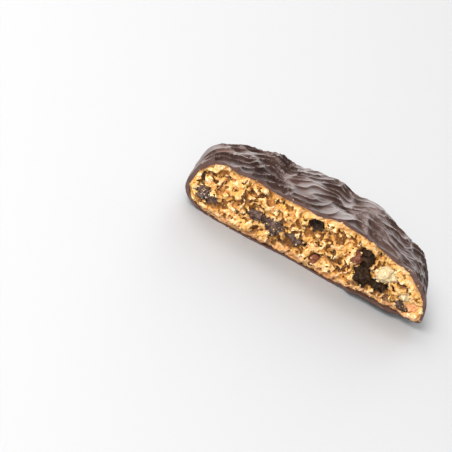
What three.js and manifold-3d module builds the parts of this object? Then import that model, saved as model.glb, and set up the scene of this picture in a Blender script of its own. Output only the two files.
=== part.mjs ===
// Half of a chocolate cookie, broken across its middle.
//
// A domed biscuit, enrobed all round in dark chocolate whose top set in blown ripples, was snapped in two.
// The half lies on its base with the broken face to the front. That face shows the open crumb inside the coat,
// its larger holes, and the chunks of chocolate, the dried fruit and the nut baked into it.
//
// Millimetres, +Z up. +X runs along the break and the broken face looks towards -Y.
// The origin is the centre of the footprint, on the surface that the cookie rests on.

import * as THREE from 'three';
import { ConvexGeometry } from 'three/addons/geometries/ConvexGeometry.js';
import { mergeVertices } from 'three/addons/utils/BufferGeometryUtils.js';
import Module from 'manifold-3d';

// ---------------------------------------------------------------------------------------------------------
// Driving dimensions
// ---------------------------------------------------------------------------------------------------------

const HALF_WIDTH = 35.1; // from the cookie's middle to either end of the break
const DEPTH = 33.8; // from the break to the back of the rim
const SQUARENESS = 2.8; // of the outline: 2 is an ellipse, more is fuller at the corners
// Bulges and dents of the outline: angle from +X, spread and height.
const LOBES = [
  { angle: 2.69, spread: 0.17, height: 1.1 },
  { angle: 2.24, spread: 0.21, height: -2.9 },
  { angle: 1.34, spread: 0.21, height: 1.8 },
  { angle: 0.81, spread: 0.16, height: -2.2 },
];
const CROWN_HEIGHT = 15.8; // top of the coat along most of the break
const CROWN_FALL = 0.0016; // how fast the crown drops towards the back, per millimetre squared
const CROWN_TWIST = 0.0029; // how much higher the back of the crown is on the right, per millimetre squared
const SWELL = { x: 5.5, y: 1, height: 0.8, halfWidth: 5.5, halfDepth: 11 }; // a low hump on the crown
// Broad waves along the crown, which start behind the break: length, height, phase, and lean per millimetre of depth.
const SWIRLS = [
  { length: 16.6, height: 0.66, phase: 3.62, lean: -0.057 },
  { length: 9.24, height: 0.24, phase: 2.45, lean: -0.1 },
];
const SWIRLS_START = { from: 2, to: 14 };

const RIM_HEIGHT = { left: 5.6, right: 2.8 }; // height of the widest line, at each end of the break
const SHOULDER = { left: 6.7, back: 11.4, right: 22 }; // how far in from the rim the top reaches its full height
const SHOULDER_ROUNDNESS = 2.2;
const UNDERCUT = { left: 9, right: 6 }; // how far in from the rim the underside meets the table
const RAISED_BASE = { from: 10, to: 22, height: 1.5 }; // the underside lifts off the table on the right

// Thickness of the chocolate, with what it gains over the left shoulder.
const COAT = { top: 1.1, side: { left: 0.9, back: 1.6, right: 1.3 }, base: 0.6, leftShoulder: 0.2 };
const FITTING_GAP = 0.3; // between pieces that lie against each other

// The flat spot that the half rests on, as the corners of its outline. The underside rises gently from it, up to
// flareHeight where the outline is flare times as large. Spare is what is trimmed off to leave it flat.
const FOOT = {
  corners: [[-24, 3], [-8, 1.5], [8, 2.5], [7, 18], [-8, 25], [-23, 17]],
  middle: [-8, 13],
  flare: 3,
  flareHeight: 3,
  spare: 0.25,
};

// Waves blown into the top. Several waves, splayed about one direction, make crests that wander, join and part. Each
// leans forward by push times its height. Their direction turns from left to right about turnMiddle.
const RIPPLE = {
  height: 0.72,
  length: 7.4,
  splay: 0.85,
  waves: 15,
  push: 0.6,
  lean: 0.12,
  turn: 0.3,
  turnMiddle: 8,
  turnWidth: 10,
  bluntness: 0.05,
  fadeFrom: 4,
  fadeTo: 9.5,
};
const DRAPE = { height: 0.28, perTurn: 17 }; // runs of chocolate down the side

// The bodies that the half is cut from: how often an icosahedron's edge is split, how much of the coat lies over the
// body, and its clearance to the coat.
const OUTSIDE = { detail: 23, underCoat: 0, gap: 0 };
const LINING = { detail: 9, underCoat: 1, gap: 0 };
const CRUMB = { detail: 9, underCoat: 1, gap: FITTING_GAP };
const BASE_SHARE = 0.12; // the flat base gets this share of the facets that a like area of top gets

const BREAK = { reach: 12, margin: 4, step: 1, coatStep: 2.4, waviness: 0.45, roughness: 0.14 }; // the broken face
const BASE_FLAKE = { from: 12, to: 29, height: 2.2, reach: 1.7 }; // base chocolate left proud of the crumb

const PORES = { pitchX: 3.2, pitchZ: 2.6, least: 0.85, most: 1.5, seed: 7 }; // cells torn open by the break

// Cavities in the broken face: centre, half sizes along the break and upwards, and depth.
const HOLES = [
  { x: -1.2, z: 11.9, halfWidth: 2.2, halfHeight: 1.9, depth: 5.2 },
  { x: -19.2, z: 11.3, halfWidth: 1.1, halfHeight: 1.3, depth: 2.4 },
  { x: -32.3, z: 8.3, halfWidth: 0.9, halfHeight: 0.8, depth: 1.8 },
  { x: -9.6, z: 3.6, halfWidth: 1.0, halfHeight: 0.8, depth: 2.4 },
  { x: 6.5, z: 11.6, halfWidth: 0.7, halfHeight: 0.7, depth: 2.0 },
  { x: 7.0, z: 5.2, halfWidth: 1.7, halfHeight: 1.0, depth: 2.2 },
  { x: 9.6, z: 3.9, halfWidth: 1.2, halfHeight: 0.9, depth: 2.4 },
  { x: 26.1, z: 9.0, halfWidth: 1.2, halfHeight: 0.9, depth: 2.6 },
  { x: 24.0, z: 3.6, halfWidth: 1.1, halfHeight: 0.6, depth: 1.8 },
];

// Pieces baked into the crumb that the break laid bare: centre on the face, half sizes along the break, inwards
// and upwards, the turn of the piece in the face in degrees, and how far it stands out of the face.
const INCLUSIONS = [
  { name: 'chocolate_chunk_left_end', kind: 'chocolate', x: -29.4, z: 4.7, half: [3.1, 2, 1.6], turn: -14, proud: 0.3 },
  { name: 'chocolate_chunk_middle', kind: 'chocolate', x: -10.7, z: 6.2, half: [2.7, 2, 1.8], turn: -12, proud: 0.5 },
  { name: 'chocolate_chunk_middle_small', kind: 'chocolate', x: -15.7, z: 6.7, half: [1.8, 1.4, 1.1], turn: 14, proud: 0.2 },
  { name: 'chocolate_chunk_low', kind: 'chocolate', x: -3.9, z: 5.2, half: [1.7, 1.4, 1.2], turn: -35, proud: 0.1 },
  { name: 'chocolate_chunk_low_right', kind: 'chocolate', x: 28.3, z: 3.6, half: [1.6, 1.2, 0.8], turn: -8, proud: 0.0 },
  { name: 'dark_fruit_upper', kind: 'darkFruit', x: 14.7, z: 10.2, half: [1.9, 1.7, 2.3], turn: 8, proud: -0.4 },
  { name: 'dark_fruit_lower', kind: 'darkFruit', x: 14.9, z: 5.3, half: [2.4, 1.9, 2], turn: -20, proud: -0.2 },
  { name: 'dark_fruit_tail', kind: 'darkFruit', x: 20.3, z: 4.9, half: [2.2, 1.5, 1.1], turn: -10, proud: -0.4 },
  { name: 'nut_piece', kind: 'nut', x: 20.9, z: 9, half: [2.8, 1.9, 2.2], turn: 14, proud: 0.5 },
  { name: 'nut_piece_small', kind: 'nut', x: 27.6, z: 6.6, half: [1.4, 1.2, 1.1], turn: 0, proud: 0.2 },
  { name: 'red_fruit_upper', kind: 'redFruit', x: 11.5, z: 8.7, half: [0.9, 1.1, 1.5], turn: 12, proud: 0.1 },
  { name: 'red_fruit_low', kind: 'redFruit', x: 2.9, z: 3.2, half: [1.0, 1.1, 1.4], turn: -10, proud: 0.0 },
  { name: 'red_fruit_right_end', kind: 'redFruit', x: 31.0, z: 4.8, half: [1.3, 1.2, 1.2], turn: 20, proud: 0.0 },
];
const INCLUSION_DETAIL = 1;

const FINISHES = {
  coat: { color: 0x3a2622, roughness: 0.34, metalness: 0 },
  crumb: { color: 0xd99a45, roughness: 0.9, metalness: 0 },
  chocolate: { color: 0x33231f, roughness: 0.6, metalness: 0 },
  darkFruit: { color: 0x1f140e, roughness: 0.5, metalness: 0 },
  redFruit: { color: 0x6e2713, roughness: 0.45, metalness: 0 },
  nut: { color: 0xe2cd95, roughness: 0.75, metalness: 0 },
};

// ---------------------------------------------------------------------------------------------------------
// Form of the cookie
// ---------------------------------------------------------------------------------------------------------

const { sin, cos, cosh, log, abs, hypot, sqrt, pow, exp, min, max, round, atan2, PI } = Math;
const smoothstep = (from, to, t) => THREE.MathUtils.smoothstep(t, from, to);

// A value that goes from right, at +X, through back, at +Y, to left, at -X.
function aroundRim(angle, { left, right, back = (left + right) / 2 }) {
  const c = cos(angle);
  return back + ((right - left) / 2) * c + ((right + left) / 2 - back) * c * c;
}

function rimRadius(angle) {
  const across = pow(abs(cos(angle)) / HALF_WIDTH, SQUARENESS);
  const back = pow(abs(sin(angle)) / DEPTH, SQUARENESS);
  const unevenness = 0.3 * sin(3 * angle + 3.5) + 0.22 * sin(5 * angle + 5.2) + 0.16 * sin(9 * angle + 3.4);
  const lobes = LOBES.reduce((sum, lobe) => sum + lobe.height * exp(-(((angle - lobe.angle) / lobe.spread) ** 2)), 0);
  return pow(across + back, -1 / SQUARENESS) + unevenness + lobes;
}

function crownHeight(x, y) {
  const swell = SWELL.height * exp(-(((x - SWELL.x) / SWELL.halfWidth) ** 2) - ((y - SWELL.y) / SWELL.halfDepth) ** 2);
  const unevenness = 0.35 * sin(x / 6.3 + 1.1) * cos(y / 6.9 - 0.5) + 0.22 * sin(x / 3.7 - y / 5.1);
  const swirl = SWIRLS.reduce((sum, s) => sum + s.height * sin((2 * PI * x) / s.length + s.phase + s.lean * y), 0);
  const behind = smoothstep(SWIRLS_START.from, SWIRLS_START.to, y);
  return CROWN_HEIGHT - CROWN_FALL * y * y + CROWN_TWIST * x * y + swell + unevenness + behind * swirl;
}

// Height of the top over its rim line, from 0 at the rim to 1 past the shoulder.
function shoulder(fromRim, reach) {
  const t = min(1, max(0, fromRim / reach));
  return sqrt(1 - pow(1 - t, SHOULDER_ROUNDNESS));
}

// Sharp crests between round troughs, which run where a sum of waves crosses zero.
function crests(x, y) {
  let total = 0;
  for (let i = 0; i < RIPPLE.waves; i++) {
    const angle = RIPPLE.splay * (2 * ((0.618 * i) % 1) - 1);
    const length = RIPPLE.length * (0.7 + 0.7 * ((0.755 * i) % 1));
    const phase = 2 * PI * ((0.57 * i * i) % 1);
    total += sin(((2 * PI) / length) * (x * sin(angle) + y * cos(angle)) + phase);
  }
  const off = hypot(total * sqrt(2 / RIPPLE.waves), RIPPLE.bluntness);
  return 0.6 - off / sqrt(1 + 0.5 * off * off);
}

// Height of the waves that cooling air blew into the chocolate: steep in front and gently sloped behind.
function ripple(x, y) {
  const turned = RIPPLE.turn * RIPPLE.turnWidth * log(cosh((x - RIPPLE.turnMiddle) / RIPPLE.turnWidth));
  const across = y - RIPPLE.lean * x + turned;
  const strength = RIPPLE.height * (0.85 + 0.3 * sin(x / 7.3 + 0.6) * cos(y / 6.1));
  let height = 0;
  for (let step = 0; step < 5; step++) height = strength * crests(x, across + RIPPLE.push * height);
  return height;
}

// ---------------------------------------------------------------------------------------------------------
// Whole bodies, before the break
// ---------------------------------------------------------------------------------------------------------

// The meridian runs from the top's middle (0) over the rim (1) to the middle of the base (2).
// Returns the share of the way to the rim, the drop from the crown and the side of the rim.
const EDGE_SHARE = 0.16; // of the lower half of the meridian, the curved edge under the rim

function meridianPoint(t, radius, shoulderReach, rimHeight, undercut, crown, base) {
  if (t <= 1) {
    const fromRim = radius * (1 - t) ** 2;
    return { r: radius - fromRim, z: rimHeight + (crown - rimHeight) * shoulder(fromRim, shoulderReach) };
  }
  const s = t - 1;
  if (s < EDGE_SHARE) {
    const turn = ((s / EDGE_SHARE) * PI) / 2;
    return { r: radius - undercut * (1 - cos(turn)), z: base + (rimHeight - base) * (1 - sin(turn)) };
  }
  return { r: ((radius - undercut) * (1 - s)) / (1 - EDGE_SHARE), z: base };
}

// Where along the meridian each share of the facets falls, so that the facets come out evenly sized.
function meridianSpread() {
  const steps = 400;
  const shares = [0];
  let previous = meridianPoint(0, HALF_WIDTH, SHOULDER.back, RIM_HEIGHT.right, UNDERCUT.right, CROWN_HEIGHT, 0);
  for (let i = 1; i <= steps; i++) {
    const t = (2 * i) / steps;
    const point = meridianPoint(t, HALF_WIDTH, SHOULDER.back, RIM_HEIGHT.right, UNDERCUT.right, CROWN_HEIGHT, 0);
    const length = hypot(point.r - previous.r, point.z - previous.z);
    const weight = t > 1 + EDGE_SHARE ? BASE_SHARE : 1;
    shares.push(shares[i - 1] + (weight * length * (point.r + previous.r)) / 2);
    previous = point;
  }
  const total = shares[steps];
  return (share) => {
    const wanted = share * total;
    let i = shares.findIndex((s) => s >= wanted);
    if (i < 1) return i < 0 ? 2 : 0;
    const part = (wanted - shares[i - 1]) / (shares[i] - shares[i - 1]);
    return (2 * (i - 1 + part)) / steps;
  };
}
const alongMeridian = meridianSpread();

// The whole cookie, or a body that lies inside its coat, as one closed mesh.
function cookieBody({ detail, underCoat, gap }) {
  const geometry = closed(new THREE.IcosahedronGeometry(1, detail));
  const position = geometry.getAttribute('position');
  for (let i = 0; i < position.count; i++) {
    const direction = new THREE.Vector3().fromBufferAttribute(position, i).normalize();
    const angle = atan2(direction.y, direction.x);
    const side = abs(angle); // the front is made like the back, and is broken off
    const radius = rimRadius(side) - underCoat * aroundRim(side, COAT.side) - gap;
    const rimHeight = aroundRim(side, RIM_HEIGHT);
    const t = alongMeridian((1 - direction.z) / 2);
    const flat = meridianPoint(t, radius, 1, rimHeight, 0, 1, 0);
    const x0 = flat.r * cos(angle);
    const y0 = flat.r * sin(angle);
    const coatHere = COAT.top + COAT.leftShoulder * smoothstep(24, 33, -x0);
    const crown = crownHeight(x0, abs(y0)) - underCoat * coatHere - gap;
    const raised = RAISED_BASE.height * smoothstep(RAISED_BASE.from, RAISED_BASE.to, x0);
    const base = raised + gap + (underCoat ? COAT.base : -FOOT.spare);
    let { r, z } = meridianPoint(t, radius, aroundRim(side, SHOULDER), rimHeight, aroundRim(side, UNDERCUT), crown, base);
    if (!underCoat && t < 1) {
      const top = smoothstep(RIPPLE.fadeFrom, RIPPLE.fadeTo, z);
      z += ripple(x0, y0) * top;
      r += DRAPE.height * (1 - top) * sin(DRAPE.perTurn * angle + 1.5 * sin(3 * angle));
    }
    position.setXYZ(i, r * cos(angle), r * sin(angle), z);
  }
  return geometry;
}

// ---------------------------------------------------------------------------------------------------------
// The break
// ---------------------------------------------------------------------------------------------------------

// How far the broken face lies behind its mean plane, in Y.
function breakWander(x, z) {
  const wavy = sin(x / 9.5 + 0.5) + 0.6 * sin(x / 4.7 + z / 6 + 2) + 0.35 * sin(z / 3.1 - x / 7);
  return BREAK.waviness * wavy;
}

function breakRoughness(x, z) {
  const fine = sin(2.1 * x + 1.3 * sin(1.7 * z)) * sin(1.9 * z + 0.9 * sin(1.3 * x)) + 0.5 * sin(3.3 * x - 2.4 * z);
  return BREAK.roughness * fine;
}

// A small repeatable random draw, from 0 to 1.
function randomDraw(seed) {
  let state = seed;
  return () => {
    state = (state * 1664525 + 1013904223) % 4294967296;
    return state / 4294967296;
  };
}

// Cells of the crumb, one for each place of a loose grid over the face, largest in the middle of the thickness.
function crumbPores() {
  const draw = randomDraw(PORES.seed);
  const pores = [];
  for (let z = 2.6; z < CROWN_HEIGHT - 1; z += PORES.pitchZ) {
    for (let x = -HALF_WIDTH + 3; x < HALF_WIDTH - 2; x += PORES.pitchX) {
      const middle = 1 - abs(z - 8) / 9;
      const size = PORES.least + (PORES.most - PORES.least) * draw() * (0.4 + 0.6 * middle);
      pores.push({ x: x + 1.9 * (draw() - 0.5), z: z + 1.6 * (draw() - 0.5), halfWidth: size * (0.85 + 0.5 * draw()), halfHeight: size * 0.85, depth: size * 1.25 });
    }
  }
  return pores;
}

function pitDepth(pits, x, z) {
  let depth = 0;
  for (const pit of pits) {
    const off = hypot((x - pit.x) / pit.halfWidth, (z - pit.z) / pit.halfHeight);
    if (off < 1) depth = max(depth, pit.depth * sqrt(1 - off * off));
  }
  return depth;
}

// A block whose back is the broken face: what it overlaps is broken away.
function breakBlock(step, faceAt) {
  const left = -HALF_WIDTH - BREAK.margin;
  const right = HALF_WIDTH + BREAK.margin;
  const low = -BREAK.margin;
  const high = CROWN_HEIGHT + BREAK.margin;
  const columns = round((right - left) / step);
  const rows = round((high - low) / step);
  const front = -HALF_WIDTH - BREAK.reach;
  const block = closed(new THREE.BoxGeometry(right - left, 1, high - low, columns, 1, rows));
  const position = block.getAttribute('position');
  for (let i = 0; i < position.count; i++) {
    const x = position.getX(i);
    const z = position.getZ(i) + (low + high) / 2;
    position.setXYZ(i, x, position.getY(i) > 0 ? faceAt(x, z) : front, z);
  }
  return block;
}

// The coat breaks off clean, except for the flake of base chocolate that stayed on.
function coatBreak(x, z) {
  const along = smoothstep(BASE_FLAKE.from, BASE_FLAKE.from + 3, x) * (1 - smoothstep(BASE_FLAKE.to - 3, BASE_FLAKE.to, x));
  const low = 1 - smoothstep(BASE_FLAKE.height - 0.5, BASE_FLAKE.height + 0.5, z);
  return breakWander(x, z) + 0.4 * breakRoughness(x, z) - BASE_FLAKE.reach * along * low;
}

// ---------------------------------------------------------------------------------------------------------
// Solids
// ---------------------------------------------------------------------------------------------------------

const wasm = await Module();
wasm.setup();

// A geometry with only positions, its shared vertices merged.
function closed(geometry) {
  const bare = geometry.index ? geometry.toNonIndexed() : geometry.clone();
  bare.deleteAttribute('normal');
  bare.deleteAttribute('uv');
  return mergeVertices(bare, 1e-4);
}

function solid(geometry) {
  const mesh = new wasm.Mesh({
    numProp: 3,
    vertProperties: new Float32Array(geometry.getAttribute('position').array),
    triVerts: new Uint32Array(geometry.index.array),
  });
  return new wasm.Manifold(mesh);
}

function geometryOf(manifold) {
  const mesh = manifold.getMesh();
  const geometry = new THREE.BufferGeometry();
  geometry.setAttribute('position', new THREE.BufferAttribute(new Float32Array(mesh.vertProperties), 3));
  geometry.setIndex(new THREE.BufferAttribute(new Uint32Array(mesh.triVerts), 1));
  return geometry;
}

// The largest piece of a solid, without the scraps that a cut leaves.
function mainPiece(manifold) {
  return manifold.decompose().sort((a, b) => b.volume() - a.volume())[0];
}

// An angular lump with the inclusion's half sizes, grown by a clearance, at its place in the broken face.
function inclusionLump(inclusion, clearance) {
  const [halfX, halfY, halfZ] = inclusion.half;
  const geometry = closed(new THREE.IcosahedronGeometry(1, INCLUSION_DETAIL));
  const position = geometry.getAttribute('position');
  for (let i = 0; i < position.count; i++) {
    const d = new THREE.Vector3().fromBufferAttribute(position, i).normalize();
    const phase = inclusion.x * 1.7;
    const lumpy = 1 + 0.12 * sin(4.1 * d.x + phase) * sin(3.7 * d.z - phase) + 0.07 * sin(6.3 * d.y + 2 * phase);
    position.setXYZ(i, d.x * (halfX * lumpy + clearance), d.y * (halfY * lumpy + clearance), d.z * (halfZ * lumpy + clearance));
  }
  geometry.rotateY(THREE.MathUtils.degToRad(-inclusion.turn));
  const face = breakWander(inclusion.x, inclusion.z);
  return geometry.translate(inclusion.x, face + halfY * 0.75 - inclusion.proud, inclusion.z);
}

// The room over the table that the underside may take up: a bowl with a flat bottom at a height.
function roomOverTable(height) {
  const outline = (size, z) =>
    FOOT.corners.map(([x, y]) => {
      const [middleX, middleY] = FOOT.middle;
      return new THREE.Vector3(middleX + size * (x - middleX), middleY + size * (y - middleY), height + z);
    });
  const top = CROWN_HEIGHT + BREAK.margin;
  const corners = [...outline(1, 0), ...outline(FOOT.flare, FOOT.flareHeight), ...outline(FOOT.flare, top)];
  return closed(new ConvexGeometry(corners));
}

function coatSolid() {
  const outside = solid(cookieBody(OUTSIDE)).intersect(solid(roomOverTable(0)));
  const lining = solid(cookieBody(LINING)).intersect(solid(roomOverTable(COAT.base)));
  const brokenOff = solid(breakBlock(BREAK.coatStep, coatBreak));
  return mainPiece(outside.subtract(lining).subtract(brokenOff));
}

function crumbSolid() {
  const body = solid(cookieBody(CRUMB)).intersect(solid(roomOverTable(COAT.base + FITTING_GAP)));
  const pits = [...crumbPores(), ...HOLES];
  const faceAt = (x, z) => breakWander(x, z) + breakRoughness(x, z) + pitDepth(pits, x, z);
  let crumb = body.subtract(solid(breakBlock(BREAK.step, faceAt)));
  for (const inclusion of INCLUSIONS) {
    crumb = crumb.subtract(solid(inclusionLump(inclusion, FITTING_GAP)));
  }
  return mainPiece(crumb);
}

// ---------------------------------------------------------------------------------------------------------
// The part
// ---------------------------------------------------------------------------------------------------------

function meshOf(name, finish, geometry) {
  const mesh = new THREE.Mesh(geometry, new THREE.MeshStandardMaterial(FINISHES[finish]));
  mesh.name = name;
  return mesh;
}

const cookie = new THREE.Group();
cookie.add(meshOf('chocolate_coat', 'coat', geometryOf(coatSolid())));
cookie.add(meshOf('biscuit_crumb', 'crumb', geometryOf(crumbSolid())));
for (const inclusion of INCLUSIONS) {
  cookie.add(meshOf(inclusion.name, inclusion.kind, inclusionLump(inclusion, 0)));
}

// The origin goes to the middle of the footprint.
const bounds = new THREE.Box3().setFromObject(cookie);
const middle = bounds.getCenter(new THREE.Vector3());
cookie.position.set(-middle.x, -middle.y, -bounds.min.z);

export default cookie;
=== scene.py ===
"""Half of a chocolate cookie, broken across its middle, lying on a pale floor.

The domed cookie is enrobed in dark chocolate whose top set in blown ripples. The broken face, towards -Y,
shows the open crumb with its cells and hollows, and the chocolate chunks, dried fruit and nut baked into it.
Shapes are worked out in millimetres, in a frame whose origin is the middle of the break, and are moved into
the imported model's frame.
"""

import logging
import math
from dataclasses import dataclass, field
from enum import Enum
from itertools import product
from typing import ClassVar

import bmesh
import bpy
import numpy as np
import openvdb
from bpy.types import Material, Mesh, Node, NodeSocket, NodeTree, Object
from mathutils import Matrix, Vector


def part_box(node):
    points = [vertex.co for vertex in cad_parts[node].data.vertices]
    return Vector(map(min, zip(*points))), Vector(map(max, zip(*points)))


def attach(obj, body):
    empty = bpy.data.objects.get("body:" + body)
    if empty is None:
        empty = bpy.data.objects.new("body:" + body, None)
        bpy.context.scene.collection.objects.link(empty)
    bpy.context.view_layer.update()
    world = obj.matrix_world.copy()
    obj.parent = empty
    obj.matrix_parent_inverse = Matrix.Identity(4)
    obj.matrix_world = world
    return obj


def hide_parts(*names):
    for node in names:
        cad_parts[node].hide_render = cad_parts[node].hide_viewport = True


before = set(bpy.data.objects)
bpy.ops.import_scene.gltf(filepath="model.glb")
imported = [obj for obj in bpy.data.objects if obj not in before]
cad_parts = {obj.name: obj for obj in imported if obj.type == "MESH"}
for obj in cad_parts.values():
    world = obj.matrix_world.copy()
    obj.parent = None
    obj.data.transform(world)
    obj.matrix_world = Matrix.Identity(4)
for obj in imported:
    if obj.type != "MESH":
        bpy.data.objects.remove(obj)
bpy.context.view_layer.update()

Array = np.ndarray
Pair = tuple[float, float]
Triple = tuple[float, float, float]
Colour = tuple[float, float, float, float]
Outputs = bpy.types.bpy_prop_collection

MM = 0.001
BODY = "root"

log = logging.getLogger("cookie")


# ------------------------------------------------------------------------------------------------
# Small helpers
# ------------------------------------------------------------------------------------------------


def smoothstep(low: float, high: float, value: Array) -> Array:
    """Rises smoothly from 0 at low to 1 at high.

    Args:
        low: Value at which the step begins.
        high: Value at which the step ends.
        value: Where to read the step.

    Returns:
        The step's height at each value.
    """
    t = np.clip((value - low) / (high - low), 0.0, 1.0)
    return t * t * (3.0 - 2.0 * t)


def gaussian(value: Array, centre: float, spread: float) -> Array:
    """Bell of height 1 about a centre, which has fallen to 1/e at its spread."""
    return np.exp(-(((value - centre) / spread) ** 2))


class SmoothNoise:
    """Repeatable noise, mostly from -1 to 1, that varies smoothly through space."""

    LATTICE_SIZE = 48
    OFFSET = 1000.0
    GAIN = 1.6
    LAYER_SHIFT = 7.3

    def __init__(self, seed: int) -> None:
        """Fills the lattice of random values from a seed."""
        draw = np.random.default_rng(seed)
        self.lattice = draw.uniform(-1.0, 1.0, (self.LATTICE_SIZE,) * 3).astype(np.float32)

    def at(self, x: Array, y: Array, z: Array, size: float) -> Array:
        """Reads the noise.

        Args:
            x: Places along X.
            y: Places along Y.
            z: Places along Z.
            size: Size of one lump.

        Returns:
            The noise at each place.
        """
        corners, weights = [], []
        for axis in np.broadcast_arrays(x, y, z):
            place = axis / size + self.OFFSET
            low = np.floor(place)
            t = (place - low).astype(np.float32)
            corners.append(low.astype(np.int32))
            weights.append(t * t * (3.0 - 2.0 * t))
        total = np.zeros(corners[0].shape, dtype=np.float32)
        for step in product((0, 1), repeat=3):
            index = tuple((c + s) % self.LATTICE_SIZE for c, s in zip(corners, step))
            share = np.ones_like(total)
            for weight, s in zip(weights, step):
                share *= weight if s else 1.0 - weight
            total += share * self.lattice[index]
        return total * self.GAIN

    def layered(self, x: Array, y: Array, z: Array, size: float, layers: int) -> Array:
        """Sums layers of the noise, each at half the size and half the height of the one before.

        Args:
            x: Places along X.
            y: Places along Y.
            z: Places along Z.
            size: Size of the largest lumps.
            layers: How many layers.

        Returns:
            The summed noise at each place.
        """
        return sum(self.at(x, y, z + self.LAYER_SHIFT * n, size / 2**n) / 2**n for n in range(layers))


@dataclass(frozen=True)
class FoamCells:
    """Irregular cells that fill space, as bubbles do in a dough."""

    pitch: Triple
    jitter: float
    size_spread: float
    seed: int
    table_size: int = 32
    far: float = 1000.0

    def distance(self, x: Array, y: Array, z: Array) -> Array:
        """Measures how far places lie from the nearest cell.

        Args:
            x: Places along X.
            y: Places along Y.
            z: Places along Z.

        Returns:
            Distance to the cell's middle, less a random part of the cell's own size.
        """
        n = self.table_size
        table = np.random.default_rng(self.seed).random((n, n, n, 4), dtype=np.float32)
        places = [(axis / pitch).astype(np.float32) for axis, pitch in zip((x, y, z), self.pitch)]
        floors = [np.floor(place).astype(np.int32) for place in places]
        inner = [place - floor for place, floor in zip(places, floors)]
        nearest = np.full(x.shape, self.far, dtype=np.float32)
        for step in product((-1, 0, 1), repeat=3):
            drawn = table[tuple((floor + s) % n for floor, s in zip(floors, step))]
            squared = np.zeros_like(nearest)
            for axis in range(3):
                offset = step[axis] + 0.5 + self.jitter * (drawn[..., axis] - 0.5) - inner[axis]
                squared += (offset * self.pitch[axis]) ** 2
            nearest = np.minimum(nearest, np.sqrt(squared) - self.size_spread * drawn[..., 3])
        return nearest


# ------------------------------------------------------------------------------------------------
# Form of the cookie, in millimetres
# ------------------------------------------------------------------------------------------------


@dataclass(frozen=True)
class Around:
    """A size that goes from the right end over the back to the left end of the rim."""

    left: float
    back: float
    right: float

    def at(self, angle: Array) -> Array:
        """Size at an angle from +X, in radians."""
        c, ends = np.cos(angle), (self.right + self.left) / 2
        return self.back + (self.right - self.left) / 2 * c + (ends - self.back) * c * c


@dataclass(frozen=True)
class Layer:
    """A body of the cookie: its outside, the coat's lining, or the crumb.

    under_coat is how many thicknesses of the coat lie over it, and gap how much further in it stays, less
    than 0 where it reaches into the coat.
    """

    under_coat: float
    gap: float


OUTSIDE = Layer(under_coat=0.0, gap=0.0)
LINING = Layer(under_coat=1.0, gap=0.0)
CRUMB = Layer(under_coat=1.0, gap=-0.06)


@dataclass(frozen=True)
class RimWave:
    """A slight waviness of the rim."""

    count: int
    height: float
    phase: float


@dataclass(frozen=True)
class Lobe:
    """A stretch of the rim that bulges out, or in where its height is less than 0."""

    angle: float
    spread: float
    height: float


@dataclass(frozen=True)
class Swell:
    """A low hill on the crown."""

    x: float
    y: float
    height: float
    half_width: float
    half_depth: float

    def at(self, x: Array, y: Array) -> Array:
        """Height of the hill at each place."""
        return self.height * gaussian(x, self.x, self.half_width) * gaussian(y, self.y, self.half_depth)


@dataclass(frozen=True)
class Swirl:
    """A long wave over the back of the crown."""

    length: float
    height: float
    phase: float
    lean: float

    def at(self, x: Array, y: Array) -> Array:
        """Height of the wave at each place."""
        return self.height * np.sin(2 * np.pi * x / self.length + self.phase + self.lean * y)


@dataclass(frozen=True)
class Scallops:
    """The coat's uneven thickness along the break, which gives its lower edge its scallops."""

    height: float = 0.26
    length: float = 1.7
    sway: float = 1.2
    sway_length: float = 4.3
    reach: float = 6.0

    def at(self, x: Array, y: Array) -> Array:
        """How much thinner the coat is at each place."""
        wave = np.sin(x / self.length + self.sway * np.sin(x / self.sway_length))
        return self.height * wave * np.exp(-np.abs(y) / self.reach)


@dataclass(frozen=True)
class Patches:
    """A strength that differs from patch to patch of the top."""

    mean: float
    swing: float
    size: float
    layers: int
    level: float
    limits: Pair

    def at(self, grain: SmoothNoise, x: Array, y: Array) -> Array:
        """Strength at each place, read from a noise."""
        noise = grain.layered(x, y, 0 * x + self.level, self.size, self.layers)
        return np.clip(self.mean + self.swing * noise, *self.limits)


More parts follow.
